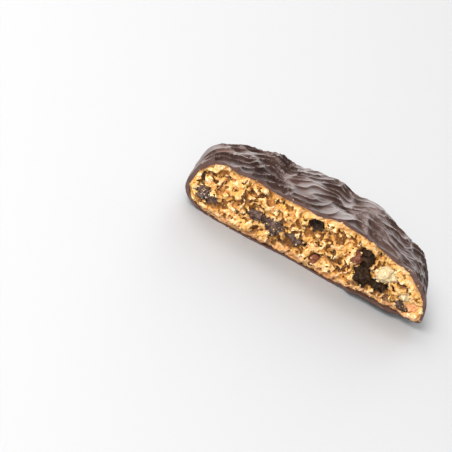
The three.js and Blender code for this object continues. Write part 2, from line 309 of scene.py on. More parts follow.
@dataclass(frozen=True)
class Ripples:
    """Waves that cooling air blew into the chocolate, large ones with finer ones between them."""

    height: float = 0.66
    length: float = 7.4
    splay: float = 0.85
    waves: int = 15
    shortest: float = 0.7
    length_spread: float = 0.7
    crest_top: float = 0.6
    bluntness: float = 0.05
    push: float = 0.85
    push_rounds: int = 5
    lean: float = 0.12
    turn: float = 0.3
    turn_middle: float = 8.0
    turn_width: float = 10.0
    warp: float = 0.9
    warp_size: float = 7.0
    strength: Patches = Patches(mean=1.1, swing=0.6, size=6.0, layers=2, level=20.0, limits=(0.7, 1.7))
    fine: Patches = Patches(mean=0.7, swing=0.9, size=8.0, layers=1, level=40.0, limits=(0.0, 1.0))
    fine_share: float = 0.34
    fine_size: float = 0.45
    fine_shift: float = 31.0
    fine_squeeze: float = 1.3
    fine_push: float = 0.6
    grain: SmoothNoise = field(default_factory=lambda: SmoothNoise(11))
    angle_step: ClassVar[float] = 0.618
    length_step: ClassVar[float] = 0.755
    phase_step: ClassVar[float] = 0.57

    def at(self, x: Array, y: Array) -> Array:
        """Finds the ripples' height. Each leans forward, steep in front and gently sloped behind.

        Args:
            x: Places along the break.
            y: Places behind the break.

        Returns:
            Height over the smooth top.
        """
        off_middle = (x - self.turn_middle) / self.turn_width
        bent = y - self.lean * x + self.turn * self.turn_width * np.log(np.cosh(off_middle))
        bent = bent + self.warp * self.grain.at(x, y, 0 * x, self.warp_size)
        strength = self.height * self.strength.at(self.grain, x, y)
        height = np.zeros_like(x)
        for _ in range(self.push_rounds):
            height = strength * self.crests(x, bent + self.push * height, 1.0)
        fine = self.fine_share * self.fine.at(self.grain, x, y) * strength
        finely_bent = self.fine_squeeze * bent + self.fine_push * height
        return height + fine * self.crests(x + self.fine_shift, finely_bent, self.fine_size)

    def crests(self, x: Array, y: Array, size: float) -> Array:
        """Makes sharp crests between round troughs, where a sum of waves about one direction crosses zero.

        Args:
            x: Places along the crests.
            y: Places across them.
            size: Size of the pattern.

        Returns:
            Height about a mean of zero, at most the crests' top.
        """
        total = np.zeros_like(x)
        for i in range(self.waves):
            angle = self.splay * (2 * (self.angle_step * i % 1) - 1)
            length = size * self.length * (self.shortest + self.length_spread * (self.length_step * i % 1))
            phase = 2 * math.pi * (self.phase_step * i * i % 1)
            total += np.sin(2 * math.pi / length * (x * math.sin(angle) + y * math.cos(angle)) + phase)
        off = np.sqrt(total**2 * 2 / self.waves + self.bluntness**2)
        return self.crest_top - off / np.sqrt(1 + 0.5 * off * off)


@dataclass(frozen=True)
class CookieForm:
    """Outline, crown, shoulders and ripples of the cookie."""

    half_width: float = 35.1
    depth: float = 33.8
    squareness: float = 2.8
    rim_waves: tuple[RimWave, ...] = (RimWave(3, 0.3, 3.5), RimWave(5, 0.22, 5.2), RimWave(9, 0.16, 3.4))
    lobes: tuple[Lobe, ...] = (
        Lobe(2.69, 0.17, 1.1), Lobe(2.24, 0.21, -2.9), Lobe(1.34, 0.21, 1.8), Lobe(0.81, 0.16, -2.2),
    )
    crown_height: float = 15.8
    crown_fall: float = 0.0016
    crown_twist: float = 0.0029
    swell: Swell = Swell(x=5.5, y=1.0, height=0.8, half_width=5.5, half_depth=11.0)
    dent_height: float = 0.35
    dent_lengths: Pair = (6.3, 6.9)
    dent_phases: Pair = (1.1, -0.5)
    slant_height: float = 0.22
    slant_lengths: Pair = (3.7, -5.1)
    swirls: tuple[Swirl, ...] = (Swirl(16.6, 0.66, 3.62, -0.057), Swirl(9.24, 0.24, 2.45, -0.1))
    swirls_start: Pair = (2.0, 14.0)
    rim_height: Around = Around(left=5.6, back=4.2, right=2.8)
    shoulder: Around = Around(left=6.7, back=11.4, right=22.0)
    shoulder_roundness: float = 2.2
    undercut: Around = Around(left=9.0, back=7.5, right=6.0)
    raised_span: Pair = (10.0, 22.0)
    raised_height: float = 1.5
    coat_side: Around = Around(left=1.0, back=1.6, right=0.75)
    coat_top: float = 0.95
    coat_base: float = 0.34
    left_shoulder_more: float = 0.15
    left_shoulder_span: Pair = (24.0, 33.0)
    right_shoulder_more: float = -0.35
    right_shoulder_span: Pair = (10.0, 26.0)
    scallops: Scallops = Scallops()
    ripples: Ripples = field(default_factory=Ripples)
    ripple_fade: Pair = (4.0, 9.5)
    drape_height: float = 0.28
    drapes: float = 17.0
    drape_sway: float = 1.5
    drape_sways: float = 3.0
    edge_share: float = 0.16
    base_share: float = 0.12
    meridian_samples: int = 801
    steepest: float = 12.0

    def rim_radius(self, angle: Array) -> Array:
        """Finds the distance from the middle of the break to the rim.

        Args:
            angle: Angle from +X, in radians.

        Returns:
            The radius at each angle.
        """
        across = (np.abs(np.cos(angle)) / self.half_width) ** self.squareness
        back = (np.abs(np.sin(angle)) / self.depth) ** self.squareness
        uneven = sum(wave.height * np.sin(wave.count * angle + wave.phase) for wave in self.rim_waves)
        bulges = sum(lobe.height * gaussian(angle, lobe.angle, lobe.spread) for lobe in self.lobes)
        return (across + back) ** (-1 / self.squareness) + uneven + bulges

    def crown(self, x: Array, y: Array) -> Array:
        """Finds the height of the coat's top past the shoulder.

        Args:
            x: Places along the break.
            y: Places behind the break.

        Returns:
            The height at each place.
        """
        dents = np.sin(x / self.dent_lengths[0] + self.dent_phases[0])
        dents = self.dent_height * dents * np.cos(y / self.dent_lengths[1] + self.dent_phases[1])
        slants = self.slant_height * np.sin(x / self.slant_lengths[0] + y / self.slant_lengths[1])
        arch = self.crown_height - self.crown_fall * y * y + self.crown_twist * x * y
        swirl = sum(wave.at(x, y) for wave in self.swirls)
        return arch + self.swell.at(x, y) + (dents + slants) + smoothstep(*self.swirls_start, y) * swirl

    def shoulder_share(self, from_rim: Array, reach: Array) -> Array:
        """Finds how far the top has risen, from 0 at the rim to 1 past the shoulder.

        Args:
            from_rim: Distance in from the rim.
            reach: Distance at which the top is at its full height.

        Returns:
            The share of the full height.
        """
        t = np.clip(from_rim / reach, 0.0, 1.0)
        return np.sqrt(np.maximum(0.0, 1 - (1 - t) ** self.shoulder_roundness))

    def meridian(self, t: Array, radius: Array, reach: Array, rim: Array, undercut: Array, crown: Array,
                 base: Array) -> tuple[Array, Array]:
        """Follows a line over the surface, from the top's middle over the rim to the middle of the base.

        Args:
            t: Place on the line: 0 is the top's middle, 1 the rim and 2 the base's middle.
            radius: Distance to the rim.
            reach: The shoulder's reach.
            rim: Height of the rim.
            undercut: How far in from the rim the underside meets the base.
            crown: Height of the top.
            base: Height of the base.

        Returns:
            Distance from the middle, and height.
        """
        from_rim = radius * (1 - np.minimum(t, 1)) ** 2
        top_z = rim + (crown - rim) * self.shoulder_share(from_rim, reach)
        s = np.maximum(t - 1, 0)
        turn = np.minimum(s / self.edge_share, 1) * np.pi / 2
        edge_r = radius - undercut * (1 - np.cos(turn))
        edge_z = base + (rim - base) * (1 - np.sin(turn))
        base_r = (radius - undercut) * (1 - s) / (1 - self.edge_share)
        r = np.where(t <= 1, radius - from_rim, np.where(s < self.edge_share, edge_r, base_r))
        z = np.where(t <= 1, top_z, np.where(s < self.edge_share, edge_z, base))
        return r, z

    def even_spread(self, share: Array) -> Array:
        """Finds where on a meridian each share of the facets falls, so that they come out evenly sized.

        Args:
            share: Share of the facets passed, from 0 to 1.

        Returns:
            Places on the meridian.
        """
        t = np.linspace(0, 2, self.meridian_samples)
        ones = np.ones_like(t)
        sizes = (self.half_width, self.shoulder.back, self.rim_height.right, self.undercut.right,
                 self.crown_height, 0)
        r, z = self.meridian(t, *(size * ones for size in sizes))
        weight = np.where(t[1:] > 1 + self.edge_share, self.base_share, 1.0)
        strips = weight * np.hypot(np.diff(r), np.diff(z)) * (r[1:] + r[:-1]) / 2
        passed = np.concatenate([[0.0], np.cumsum(strips)])
        return np.interp(share * passed[-1], passed, t)

    def on_body(self, directions: Array, layer: Layer) -> Array:
        """Maps directions onto the surface of the whole cookie.

        Args:
            directions: Unit vectors, one a row.
            layer: Which of the cookie's bodies.

        Returns:
            Points on its surface, one a row.
        """
        angle = np.arctan2(directions[:, 1], directions[:, 0])
        side = np.abs(angle)
        radius = self.layer_radius(side, layer)
        t = self.even_spread((1 - directions[:, 2]) / 2)
        rim = self.rim_height.at(side)
        zeros, ones = np.zeros_like(t), np.ones_like(t)
        flat_r, _ = self.meridian(t, radius, ones, rim, zeros, ones, zeros)
        x, y = flat_r * np.cos(angle), flat_r * np.sin(angle)
        r, z = self.meridian(t, radius, self.shoulder.at(side), rim, self.undercut.at(side),
                             self.layer_crown(x, np.abs(y), layer), self.layer_base(x, layer))
        if not layer.under_coat:
            top = smoothstep(*self.ripple_fade, z) * (t < 1)
            z = z + self.ripples.at(x, y) * top
            drape = np.sin(self.drapes * angle + self.drape_sway * np.sin(self.drape_sways * angle))
            r = r + self.drape_height * drape * (1 - top) * (t < 1)
        return np.column_stack([r * np.cos(angle), r * np.sin(angle), z])

    def layer_radius(self, angle: Array, layer: Layer) -> Array:
        """Distance from the middle of the break to a layer's rim, at angles from +X."""
        return self.rim_radius(angle) - layer.under_coat * self.coat_side.at(angle) - layer.gap

    def layer_crown(self, x: Array, y: Array, layer: Layer) -> Array:
        """Finds the height of a layer's top past the shoulder.

        Args:
            x: Places along the break.
            y: Places behind the break.
            layer: Which of the cookie's bodies.

        Returns:
            The height at each place.
        """
        coat = self.coat_top + self.left_shoulder_more * smoothstep(*self.left_shoulder_span, -x)
        coat = coat + self.right_shoulder_more * smoothstep(*self.right_shoulder_span, x)
        return self.crown(x, y) - layer.under_coat * (coat - self.scallops.at(x, y)) - layer.gap

    def layer_top(self, x: Array, y: Array, angle: Array, from_rim: Array, layer: Layer) -> Array:
        """Finds the height of a layer's top, shoulder and all.

        Args:
            x: Places along the break.
            y: Places behind the break.
            angle: Their angles from +X.
            from_rim: Their distances in from the rim.
            layer: Which of the cookie's bodies.

        Returns:
            The height at each place.
        """
        rim = self.rim_height.at(angle)
        crown = self.layer_crown(x, np.abs(y), layer)
        return rim + (crown - rim) * self.shoulder_share(from_rim, self.shoulder.at(angle))

    def layer_base(self, x: Array, layer: Layer) -> Array:
        """Height of a layer's base, which lifts off the table on the right."""
        raised = self.raised_height * smoothstep(*self.raised_span, x)
        return layer.under_coat * self.coat_base + layer.gap + raised

    def depth_inside(self, x: Array, y: Array, z: Array, layer: Layer) -> Array:
        """Measures how deep points of a box grid lie inside a body of the cookie.

        Args:
            x: The grid's places along X.
            y: The grid's places along Y.
            z: The grid's places along Z.
            layer: Which of the cookie's bodies.

        Returns:
            Distance in from the body's surface, less than 0 outside, as an array over x, y and z.
        """
        grid_x, grid_y = np.meshgrid(x, y, indexing="ij")
        angle = np.abs(np.arctan2(grid_y, grid_x))
        from_rim = self.layer_radius(angle, layer) - np.hypot(grid_x, grid_y)
        top = self.layer_top(grid_x, grid_y, angle, from_rim, layer)
        rim, base = self.rim_height.at(angle), self.layer_base(grid_x, layer)
        turn = np.clip(1 - from_rim / self.undercut.at(angle), 0, 1)
        low = base + (rim - base) * (1 - np.sqrt(1 - turn * turn))
        distances = []
        for surface, sign in ((top, 1), (low, -1)):
            slope = np.hypot(*np.gradient(surface, x[1] - x[0]))
            gap = sign * (surface[:, :, None] - z[None, None, :])
            distances.append(gap / np.sqrt(1 + np.minimum(slope, self.steepest) ** 2)[:, :, None])
        return np.minimum(np.minimum(*distances), from_rim[:, :, None]).astype(np.float32)


@dataclass(frozen=True)
class FaceWave:
    """A slow wave of the broken face."""

    height: float
    x_length: float
    z_length: float
    phase: float

    def at(self, x: Array, z: Array) -> Array:
        """How far the wave lies behind the mean plane."""
        return self.height * np.sin(x / self.x_length + z / self.z_length + self.phase)


@dataclass(frozen=True)
class Flake:
    """Base chocolate that stayed on, in front of the crumb, when the cookie snapped."""

    begin: float = 12.0
    end: float = 29.0
    taper: float = 3.0
    height: float = 2.2
    edge: Pair = (-0.5, 0.3)
    reach: float = 1.7
    uneven_reach: float = 0.8

    def at(self, x: Array, z: Array, ragged: Array) -> Array:
        """Finds how far the flake stands out.

        Args:
            x: Places along the break.
            z: Heights.
            ragged: Unevenness that shifts its edge.

        Returns:
            The distance in front of the face.
        """
        along = smoothstep(self.begin, self.begin + self.taper, x)
        along = along * (1 - smoothstep(self.end - self.taper, self.end, x))
        low = 1 - smoothstep(self.height + self.edge[0], self.height + self.edge[1], z + ragged)
        return (self.reach + self.uneven_reach * ragged) * along * low


@dataclass(frozen=True)
class BrokenFace:
    """The surface along which the cookie snapped."""

    waviness: float = 0.45
    waves: tuple[FaceWave, ...] = (
        FaceWave(1.0, 9.5, math.inf, 0.5), FaceWave(0.6, 4.7, 6.0, 2.0), FaceWave(0.35, -7.0, 3.1, 0.0),
    )
    torn_height: float = 0.55
    torn_size: float = 2.8
    torn_layers: int = 4
    base_span: Pair = (0.6, 2.0)
    base_calm: float = 0.35
    base_setback: float = 0.35
    flake: Flake = Flake()
    flake_ragged: float = 0.35
    flake_ragged_size: float = 1.6
    snap_grain: tuple[Triple, ...] = ((0.10, 9.0, 1.3), (0.05, 4.0, 0.6))
    grain: SmoothNoise = field(default_factory=lambda: SmoothNoise(23))

    def wander(self, x: Array, z: Array) -> Array:
        """How far the face lies behind its mean plane, along the break and up."""
        return self.waviness * sum(wave.at(x, z) for wave in self.waves)

    def crumb(self, x: Array, z: Array) -> Array:
        """Finds the crumb's face, which tore unevenly from lump to lump.

        Args:
            x: Places along the break.
            z: Heights.

        Returns:
            Places in Y.
        """
        near_base = 1 - smoothstep(*self.base_span, z)
        torn = self.grain.layered(x, 0 * x, z, self.torn_size, self.torn_layers)
        torn = (self.torn_height - self.base_calm * near_base) * torn
        return self.wander(x, z) + torn + self.base_setback * near_base

    def coat(self, x: Array, z: Array) -> Array:
        """Finds the coat's face, with the flake of base chocolate that stayed on.

        Args:
            x: Places along the break.
            z: Heights.

        Returns:
            Places in Y.
        """
        ragged = self.flake_ragged * self.grain.at(x, 0 * x, z, self.flake_ragged_size)
        fine = sum(height * self.grain.at(x, y + 0 * x, z, size) for height, y, size in self.snap_grain)
        return self.wander(x, z) + fine - self.flake.at(x, z, ragged)


class Kind(Enum):
    """What a piece baked into the crumb is."""

    CHOCOLATE = "chunk"
    DARK_FRUIT = "dark_fruit"
    RED_FRUIT = "red_fruit"
    CANDIED_PEEL = "candied_peel"
    NUT = "nut"

    @property
    def slot(self) -> str:
        """Name of the material slot; candied peel shares red fruit's."""
        return Kind.RED_FRUIT.value if self is Kind.CANDIED_PEEL else self.value


@dataclass(frozen=True)
class Raggedness:
    """How the surface of one kind of piece is broken or wrinkled, by lumps, folds and rough layers.

    Each of the rough layers has its height, its size and how many layers of noise it sums.
    """

    level: float
    rough: tuple[tuple[float, float, int], ...]
    lumps: float = 0.0
    folds: float = 0.0
    shift: float = 0.0
    lump_reach: float = 0.7
    fold_depth: float = 1.8
    fold_size: float = 1.3
    noise: ClassVar[SmoothNoise] = SmoothNoise(47)
    cells: ClassVar[FoamCells] = FoamCells(pitch=(1.7, 1.7, 1.5), jitter=0.9, size_spread=0.2, seed=17)

    def at(self, x: Array, y: Array, z: Array) -> Array:
        """Finds how far the ragged surface stands out from the piece's plain oval.

        Args:
            x: Places along X.
            y: Places along Y.
            z: Places along Z.

        Returns:
            The height at each place.
        """
        height = self.level
        if self.lumps:
            height = height + self.lumps * (self.lump_reach - self.cells.distance(x, y, z))
        if self.folds:
            creases = np.abs(self.noise.at(x, y, z, self.fold_size))
            height = height + self.folds * (1 - self.fold_depth * creases)
        for share, size, layers in self.rough:
            height = height + share * self.noise.layered(x + self.shift, y, z, size, layers)
        return height


WRINKLED = Raggedness(level=-0.05, rough=((0.5, 1.5, 4),), folds=0.45, shift=4.0)
SURFACES = {
    Kind.CHOCOLATE: Raggedness(level=0.0, rough=((0.36, 0.9, 2),), lumps=0.55),
    Kind.NUT: Raggedness(level=0.1, rough=((0.24, 1.6, 2), (0.2, 0.6, 2))),
    Kind.DARK_FRUIT: WRINKLED,
    Kind.RED_FRUIT: WRINKLED,
    Kind.CANDIED_PEEL: WRINKLED,
}


@dataclass(frozen=True)
class Inclusion:
    """A piece baked into the crumb that the break laid bare."""

    node: str
    kind: Kind
    x: float
    z: float
    half: Triple
    turn: float
    proud: float
    sunk_share: ClassVar[float] = 0.75

    def centre(self, face: BrokenFace) -> Array:
        """Place of the piece's middle, which follows the face that it lies in."""
        at_face = float(face.wander(np.array(self.x), np.array(self.z)))
        return np.array([self.x, at_face + self.half[1] * self.sunk_share - self.proud, self.z])

    def local(self, x: Array, z: Array) -> tuple[Array, Array]:
        """Sees places in the face from the piece's own middle and along its own length.

        Args:
            x: Places along the break.
            z: Heights.

        Returns:
            Distances along and across the piece.
        """
        angle = math.radians(self.turn)
        dx, dz = x - self.x, z - self.z
        return dx * math.cos(angle) + dz * math.sin(angle), -dx * math.sin(angle) + dz * math.cos(angle)

    def outside(self, face: BrokenFace, x: Array, y: Array, z: Array) -> Array:
        """Measures how far places lie outside the piece.

        Args:
            face: The face that it lies in.
            x: Places along X.
            y: Places along Y.
            z: Places along Z.

        Returns:
            The distance, less than 0 inside.
        """
        along, across = self.local(x, z)
        inwards = y - self.centre(face)[1]
        long, deep, high = self.half
        off = np.sqrt((along / long) ** 2 + (inwards / deep) ** 2 + (across / high) ** 2)
        return (off - 1) * min(self.half) - SURFACES[self.kind].at(x, y, z)


INCLUSIONS = (
    Inclusion("chocolate_chunk_left_end", Kind.CHOCOLATE, -29.4, 4.7, (3.1, 2.0, 1.6), -14, 0.3),
    Inclusion("chocolate_chunk_middle", Kind.CHOCOLATE, -10.7, 6.2, (2.9, 2.0, 1.9), -12, 0.5),
    Inclusion("chocolate_chunk_middle_small", Kind.CHOCOLATE, -15.7, 6.7, (2.0, 1.4, 1.1), 14, 0.2),
    Inclusion("chocolate_chunk_low", Kind.CHOCOLATE, -3.9, 5.4, (2.3, 1.4, 0.9), -14, 0.0),
    Inclusion("chocolate_chunk_low_right", Kind.CHOCOLATE, 28.3, 3.6, (1.7, 1.2, 0.8), -8, 0.0),
    Inclusion("dark_fruit_upper", Kind.DARK_FRUIT, 14.5, 10.2, (1.8, 1.7, 2.5), 14, -0.2),
    Inclusion("dark_fruit_lower", Kind.DARK_FRUIT, 15.6, 5.9, (2.6, 1.9, 2.6), -10, -0.1),
    Inclusion("dark_fruit_tail", Kind.DARK_FRUIT, 19.8, 5.3, (3.1, 1.5, 1.3), -4, -0.3),
    Inclusion("nut_piece", Kind.NUT, 20.9, 9.0, (2.8, 1.9, 2.1), 14, 0.3),
    Inclusion("nut_piece_small", Kind.NUT, 27.6, 6.6, (1.4, 1.2, 1.0), 0, 0.0),
    Inclusion("red_fruit_upper", Kind.RED_FRUIT, 12.0, 8.9, (1.3, 1.2, 1.7), -18, 0.1),
    Inclusion("red_fruit_low", Kind.RED_FRUIT, 2.9, 3.2, (1.1, 1.1, 1.2), -10, 0.0),
    Inclusion("red_fruit_right_end", Kind.CANDIED_PEEL, 31.0, 4.6, (1.2, 1.2, 1.5), 10, -0.5),
)


@dataclass(frozen=True)
class Hollow:
    """A larger cavity in the broken face, whose walls get painted shade as dark as given, from 0 to 1."""

    x: float
    z: float
    half_width: float
    half_height: float
    depth: float
    dark: float


HOLLOWS = (
    Hollow(-1.2, 11.8, 2.5, 2.0, 5.2, 1.0),
    Hollow(-0.9, 10.2, 0.9, 1.3, 2.4, 0.4),
    Hollow(-19.2, 11.3, 1.3, 1.1, 1.9, 0.0),
    Hollow(-32.3, 8.6, 0.8, 1.0, 1.8, 0.8),
    Hollow(-31.4, 10.4, 0.8, 0.5, 1.2, 0.5),
    Hollow(-16.9, 8.9, 0.8, 0.5, 1.6, 0.5),
    Hollow(-9.6, 3.6, 0.9, 0.7, 2.2, 0.5),
    Hollow(6.5, 11.9, 0.9, 0.6, 1.8, 0.2),
    Hollow(6.4, 5.4, 1.9, 0.9, 1.8, 0.3),
    Hollow(9.6, 4.2, 1.2, 0.7, 2.0, 0.5),
    Hollow(25.8, 9.2, 1.4, 0.9, 2.4, 0.5),
    Hollow(24.0, 3.6, 1.1, 0.6, 1.8, 0.6),
    Hollow(-25.0, 4.2, 1.0, 0.5, 1.6, 0.3),
)
STAIN_REACH = {Kind.DARK_FRUIT: 0.8, Kind.CHOCOLATE: 0.4}


# ------------------------------------------------------------------------------------------------
# Meshes
# ------------------------------------------------------------------------------------------------


class MeshWorks:
    """Makes Blender meshes and objects from arrays in millimetres."""

    FLAT_MERGE = 0.03

    @staticmethod
    def mesh(name: str, points: Array, triangles: Array) -> Mesh:
        """Makes a triangle mesh.

        Args:
            name: Name of the mesh.
            points: Points in millimetres, one a row.
            triangles: Three indices a row.

        Returns:
            The mesh, in metres.
        """
        mesh = bpy.data.meshes.new(name)
        mesh.vertices.add(len(points))
        mesh.vertices.foreach_set("co", (np.asarray(points) * MM).astype(np.float32).ravel())
        mesh.loops.add(triangles.size)
        mesh.loops.foreach_set("vertex_index", triangles.astype(np.int32).ravel())
        mesh.polygons.add(len(triangles))
        mesh.polygons.foreach_set("loop_start", np.arange(0, triangles.size, 3, dtype=np.int32))
        mesh.update(calc_edges=True)
        mesh.validate()
        return mesh

    @staticmethod
    def from_shape(name: str, shape: bmesh.types.BMesh) -> Mesh:
        """Turns a shape under construction into a mesh.

        Args:
            name: Name of the mesh.
            shape: The shape, which is freed.

        Returns:
            The mesh.
        """
        mesh = bpy.data.meshes.new(name)
        shape.to_mesh(mesh)
        shape.free()
        return mesh

    @staticmethod
    def object(name: str, data: bpy.types.ID) -> Object:
        """Puts an object into the scene.

        Args:
            name: Its name.
            data: Its mesh, light or camera.

        Returns:
            The object.
        """
        made = bpy.data.objects.new(name, data)
        bpy.context.scene.collection.objects.link(made)
        return made

    @staticmethod
    def points(mesh: Mesh) -> Array:
        """Reads a mesh's points.

        Args:
            mesh: The mesh.

        Returns:
            Its points in millimetres, one a row.
        """
        flat = np.empty(len(mesh.vertices) * 3, dtype=np.float32)
        mesh.vertices.foreach_get("co", flat)
        return flat.reshape(-1, 3).astype(np.float64) / MM

    @staticmethod
    def move_points(mesh: Mesh, shift: Array) -> None:
        """Moves all points of a mesh.

        Args:
            mesh: The mesh to change.
            shift: How far along each axis, in millimetres.
        """
        points = MeshWorks.points(mesh) + shift
        mesh.vertices.foreach_set("co", (points * MM).astype(np.float32).ravel())
        mesh.update()

    @staticmethod
    def mask(mesh: Mesh, name: str, values: Array) -> None:
        """Stores one value a point for the materials to read.

        Args:
            mesh: The mesh that holds it.
            name: Name of the mask.
            values: One value for each point.
        """
        layer = mesh.attributes.new(name, "FLOAT", "POINT")
        layer.data.foreach_set("value", np.asarray(values, dtype=np.float32).ravel())

    @staticmethod
    def ball(subdivisions: int) -> tuple[Array, Array]:
        """Makes an evenly divided ball.

        Args:
            subdivisions: How often an icosahedron is divided.

        Returns:
            Its unit directions and its triangles.
        """
        shape = bmesh.new()
        bmesh.ops.create_icosphere(shape, subdivisions=subdivisions, radius=1.0)
        directions = np.array([v.co[:] for v in shape.verts], dtype=np.float64)
        triangles = np.array([[v.index for v in f.verts] for f in shape.faces], dtype=np.int32)
        shape.free()
        return directions / np.linalg.norm(directions, axis=1, keepdims=True), triangles

    @classmethod
    def surface(cls, solid: Array, axes: list[Array]) -> tuple[Array, Array]:
        """Finds the surface of a field.

        Args:
            solid: How deep each place lies in the solid.
            axes: The grid's places along each axis.

        Returns:
            Points in millimetres and triangles that face out.
        """
        padded = np.pad(-solid, 1, constant_values=1.0)
        grid = openvdb.FloatGrid(background=1.0)
        grid.copyFromArray(np.clip(padded, -1.0, 1.0).astype(np.float32))
        points, triangles, quads = grid.convertToPolygons(isovalue=0.0, adaptivity=cls.FLAT_MERGE)
        quads = np.asarray(quads, dtype=np.int64).reshape(-1, 4)
        triangles = np.asarray(triangles, dtype=np.int64).reshape(-1, 3)
        triangles = np.concatenate([triangles, quads[:, [0, 1, 2]], quads[:, [0, 2, 3]]])
        step = axes[0][1] - axes[0][0]
        start = np.array([axis[0] for axis in axes]) - step
        points = np.asarray(points, dtype=np.float64) * step + start
        a, b, c = (points[triangles[:, i]] for i in range(3))
        volume = np.einsum("ij,ij->i", a, np.cross(b, c)).sum()
        return points, triangles if volume > 0 else triangles[:, ::-1]

    @staticmethod
    def main_piece(points: Array, triangles: Array) -> tuple[Array, Array]:
        """Keeps the largest connected surface, without loose scraps and sealed cells.

        Args:
            points: Points of the mesh.
            triangles: Its triangles.

        Returns:
            The points and triangles that are left.
        """
        label = np.arange(len(points))
        edges = np.concatenate([triangles[:, [0, 1]], triangles[:, [1, 2]]])
        while True:
            low = np.minimum(label[edges[:, 0]], label[edges[:, 1]])
            before = label.copy()
            np.minimum.at(label, edges[:, 0], low)
            np.minimum.at(label, edges[:, 1], low)
            label = label[label]
            if (label == before).all():
                break
        owner = label[triangles[:, 0]]
        triangles = triangles[owner == np.bincount(owner).argmax()]
        used = np.unique(triangles)
        new = np.full(len(points), -1)
        new[used] = np.arange(len(used))
        return points[used], new[triangles]

    @classmethod
    def subtract(cls, name: str, body: Mesh, tools: list[Mesh]) -> Mesh:
        """Cuts tools out of a body.

        Args:
            name: Name of the mesh that is left.
            body: Closed mesh to cut.
            tools: Closed meshes to take away.

        Returns:
            The cut mesh.
        """
        target = cls.object(name + "_whole", body)
        helpers = [cls.object(f"{name}_tool_{i}", tool) for i, tool in enumerate(tools)]
        for helper in helpers:
            cut = target.modifiers.new("cut", "BOOLEAN")
            cut.operation, cut.solver, cut.object = "DIFFERENCE", "MANIFOLD", helper
        return cls.applied(name, target, helpers)

    @classmethod
    def thin_out(cls, name: str, mesh: Mesh, most: int) -> Mesh:
        """Merges the flattest facets until a mesh has no more than so many.

        Args:
            name: Name of the mesh that is left.
            mesh: Closed mesh of triangles.
            most: How many may stay.

        Returns:
            The lighter mesh.
        """
        target = cls.object(name + "_fine", mesh)
        target.modifiers.new("thin_out", "DECIMATE").ratio = min(1.0, most / len(mesh.polygons))
        return cls.applied(name, target, [])

    @staticmethod
    def applied(name: str, target: Object, helpers: list[Object]) -> Mesh:
        """Applies an object's modifiers and clears away the object and its helpers.

        Args:
            name: Name of the mesh that is left.
            target: Object with modifiers.
            helpers: Other objects that aren't needed after it.

        Returns:
            The finished mesh.
        """
        evaluated = target.evaluated_get(bpy.context.evaluated_depsgraph_get())
        result = bpy.data.meshes.new_from_object(evaluated)
        result.name = name
        for done in [target, *helpers]:
            old = done.data
            bpy.data.objects.remove(done)
            bpy.data.meshes.remove(old)
        return result

    @classmethod
    def arrays(cls, mesh: Mesh) -> tuple[Array, Array]:
        """Reads a mesh and removes it.

        Args:
            mesh: The mesh.

        Returns:
            Its points in millimetres and its triangles.
        """
        mesh.calc_loop_triangles()
        triangles = np.empty(len(mesh.loop_triangles) * 3, dtype=np.int32)
        mesh.loop_triangles.foreach_get("vertices", triangles)
        points = cls.points(mesh)
        bpy.data.meshes.remove(mesh)
        return points, triangles.reshape(-1, 3)


@dataclass
class Placement:
    """Lays pieces, which are made about the middle of the break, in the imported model's frame."""

    shift: Array = field(default_factory=lambda: np.zeros(3))

    def fit(self, coat_points: Array) -> None:
        """Finds the shift that lays the coat in the box of its CAD node.

        Args:
            coat_points: The coat's points, one a row.
        """
        low, high = (np.array(corner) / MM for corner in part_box("chocolate_coat"))
        own_low, own_high = coat_points.min(axis=0), coat_points.max(axis=0)
        self.shift = np.array([
            (low[0] + high[0] - own_low[0] - own_high[0]) / 2,
            high[1] - own_high[1],
            low[2] - own_low[2],
        ])

    def lay(self, name: str, mesh: Mesh, material: Material, node: str = "") -> Object:
        """Makes a mesh a piece of the cookie and lays it in its place.

        Args:
            name: Name of the piece.
            mesh: Its mesh.
            material: Its finish.
            node: CAD node that it replaces, if any.

        Returns:
            The piece.
        """
        MeshWorks.move_points(mesh, self.shift)
        piece = MeshWorks.object(name, mesh)
        piece.data.materials.clear()
        piece.data.materials.append(material)
        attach(piece, BODY)
        if node:
            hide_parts(node)
        return piece


# ------------------------------------------------------------------------------------------------
# Materials
# ------------------------------------------------------------------------------------------------


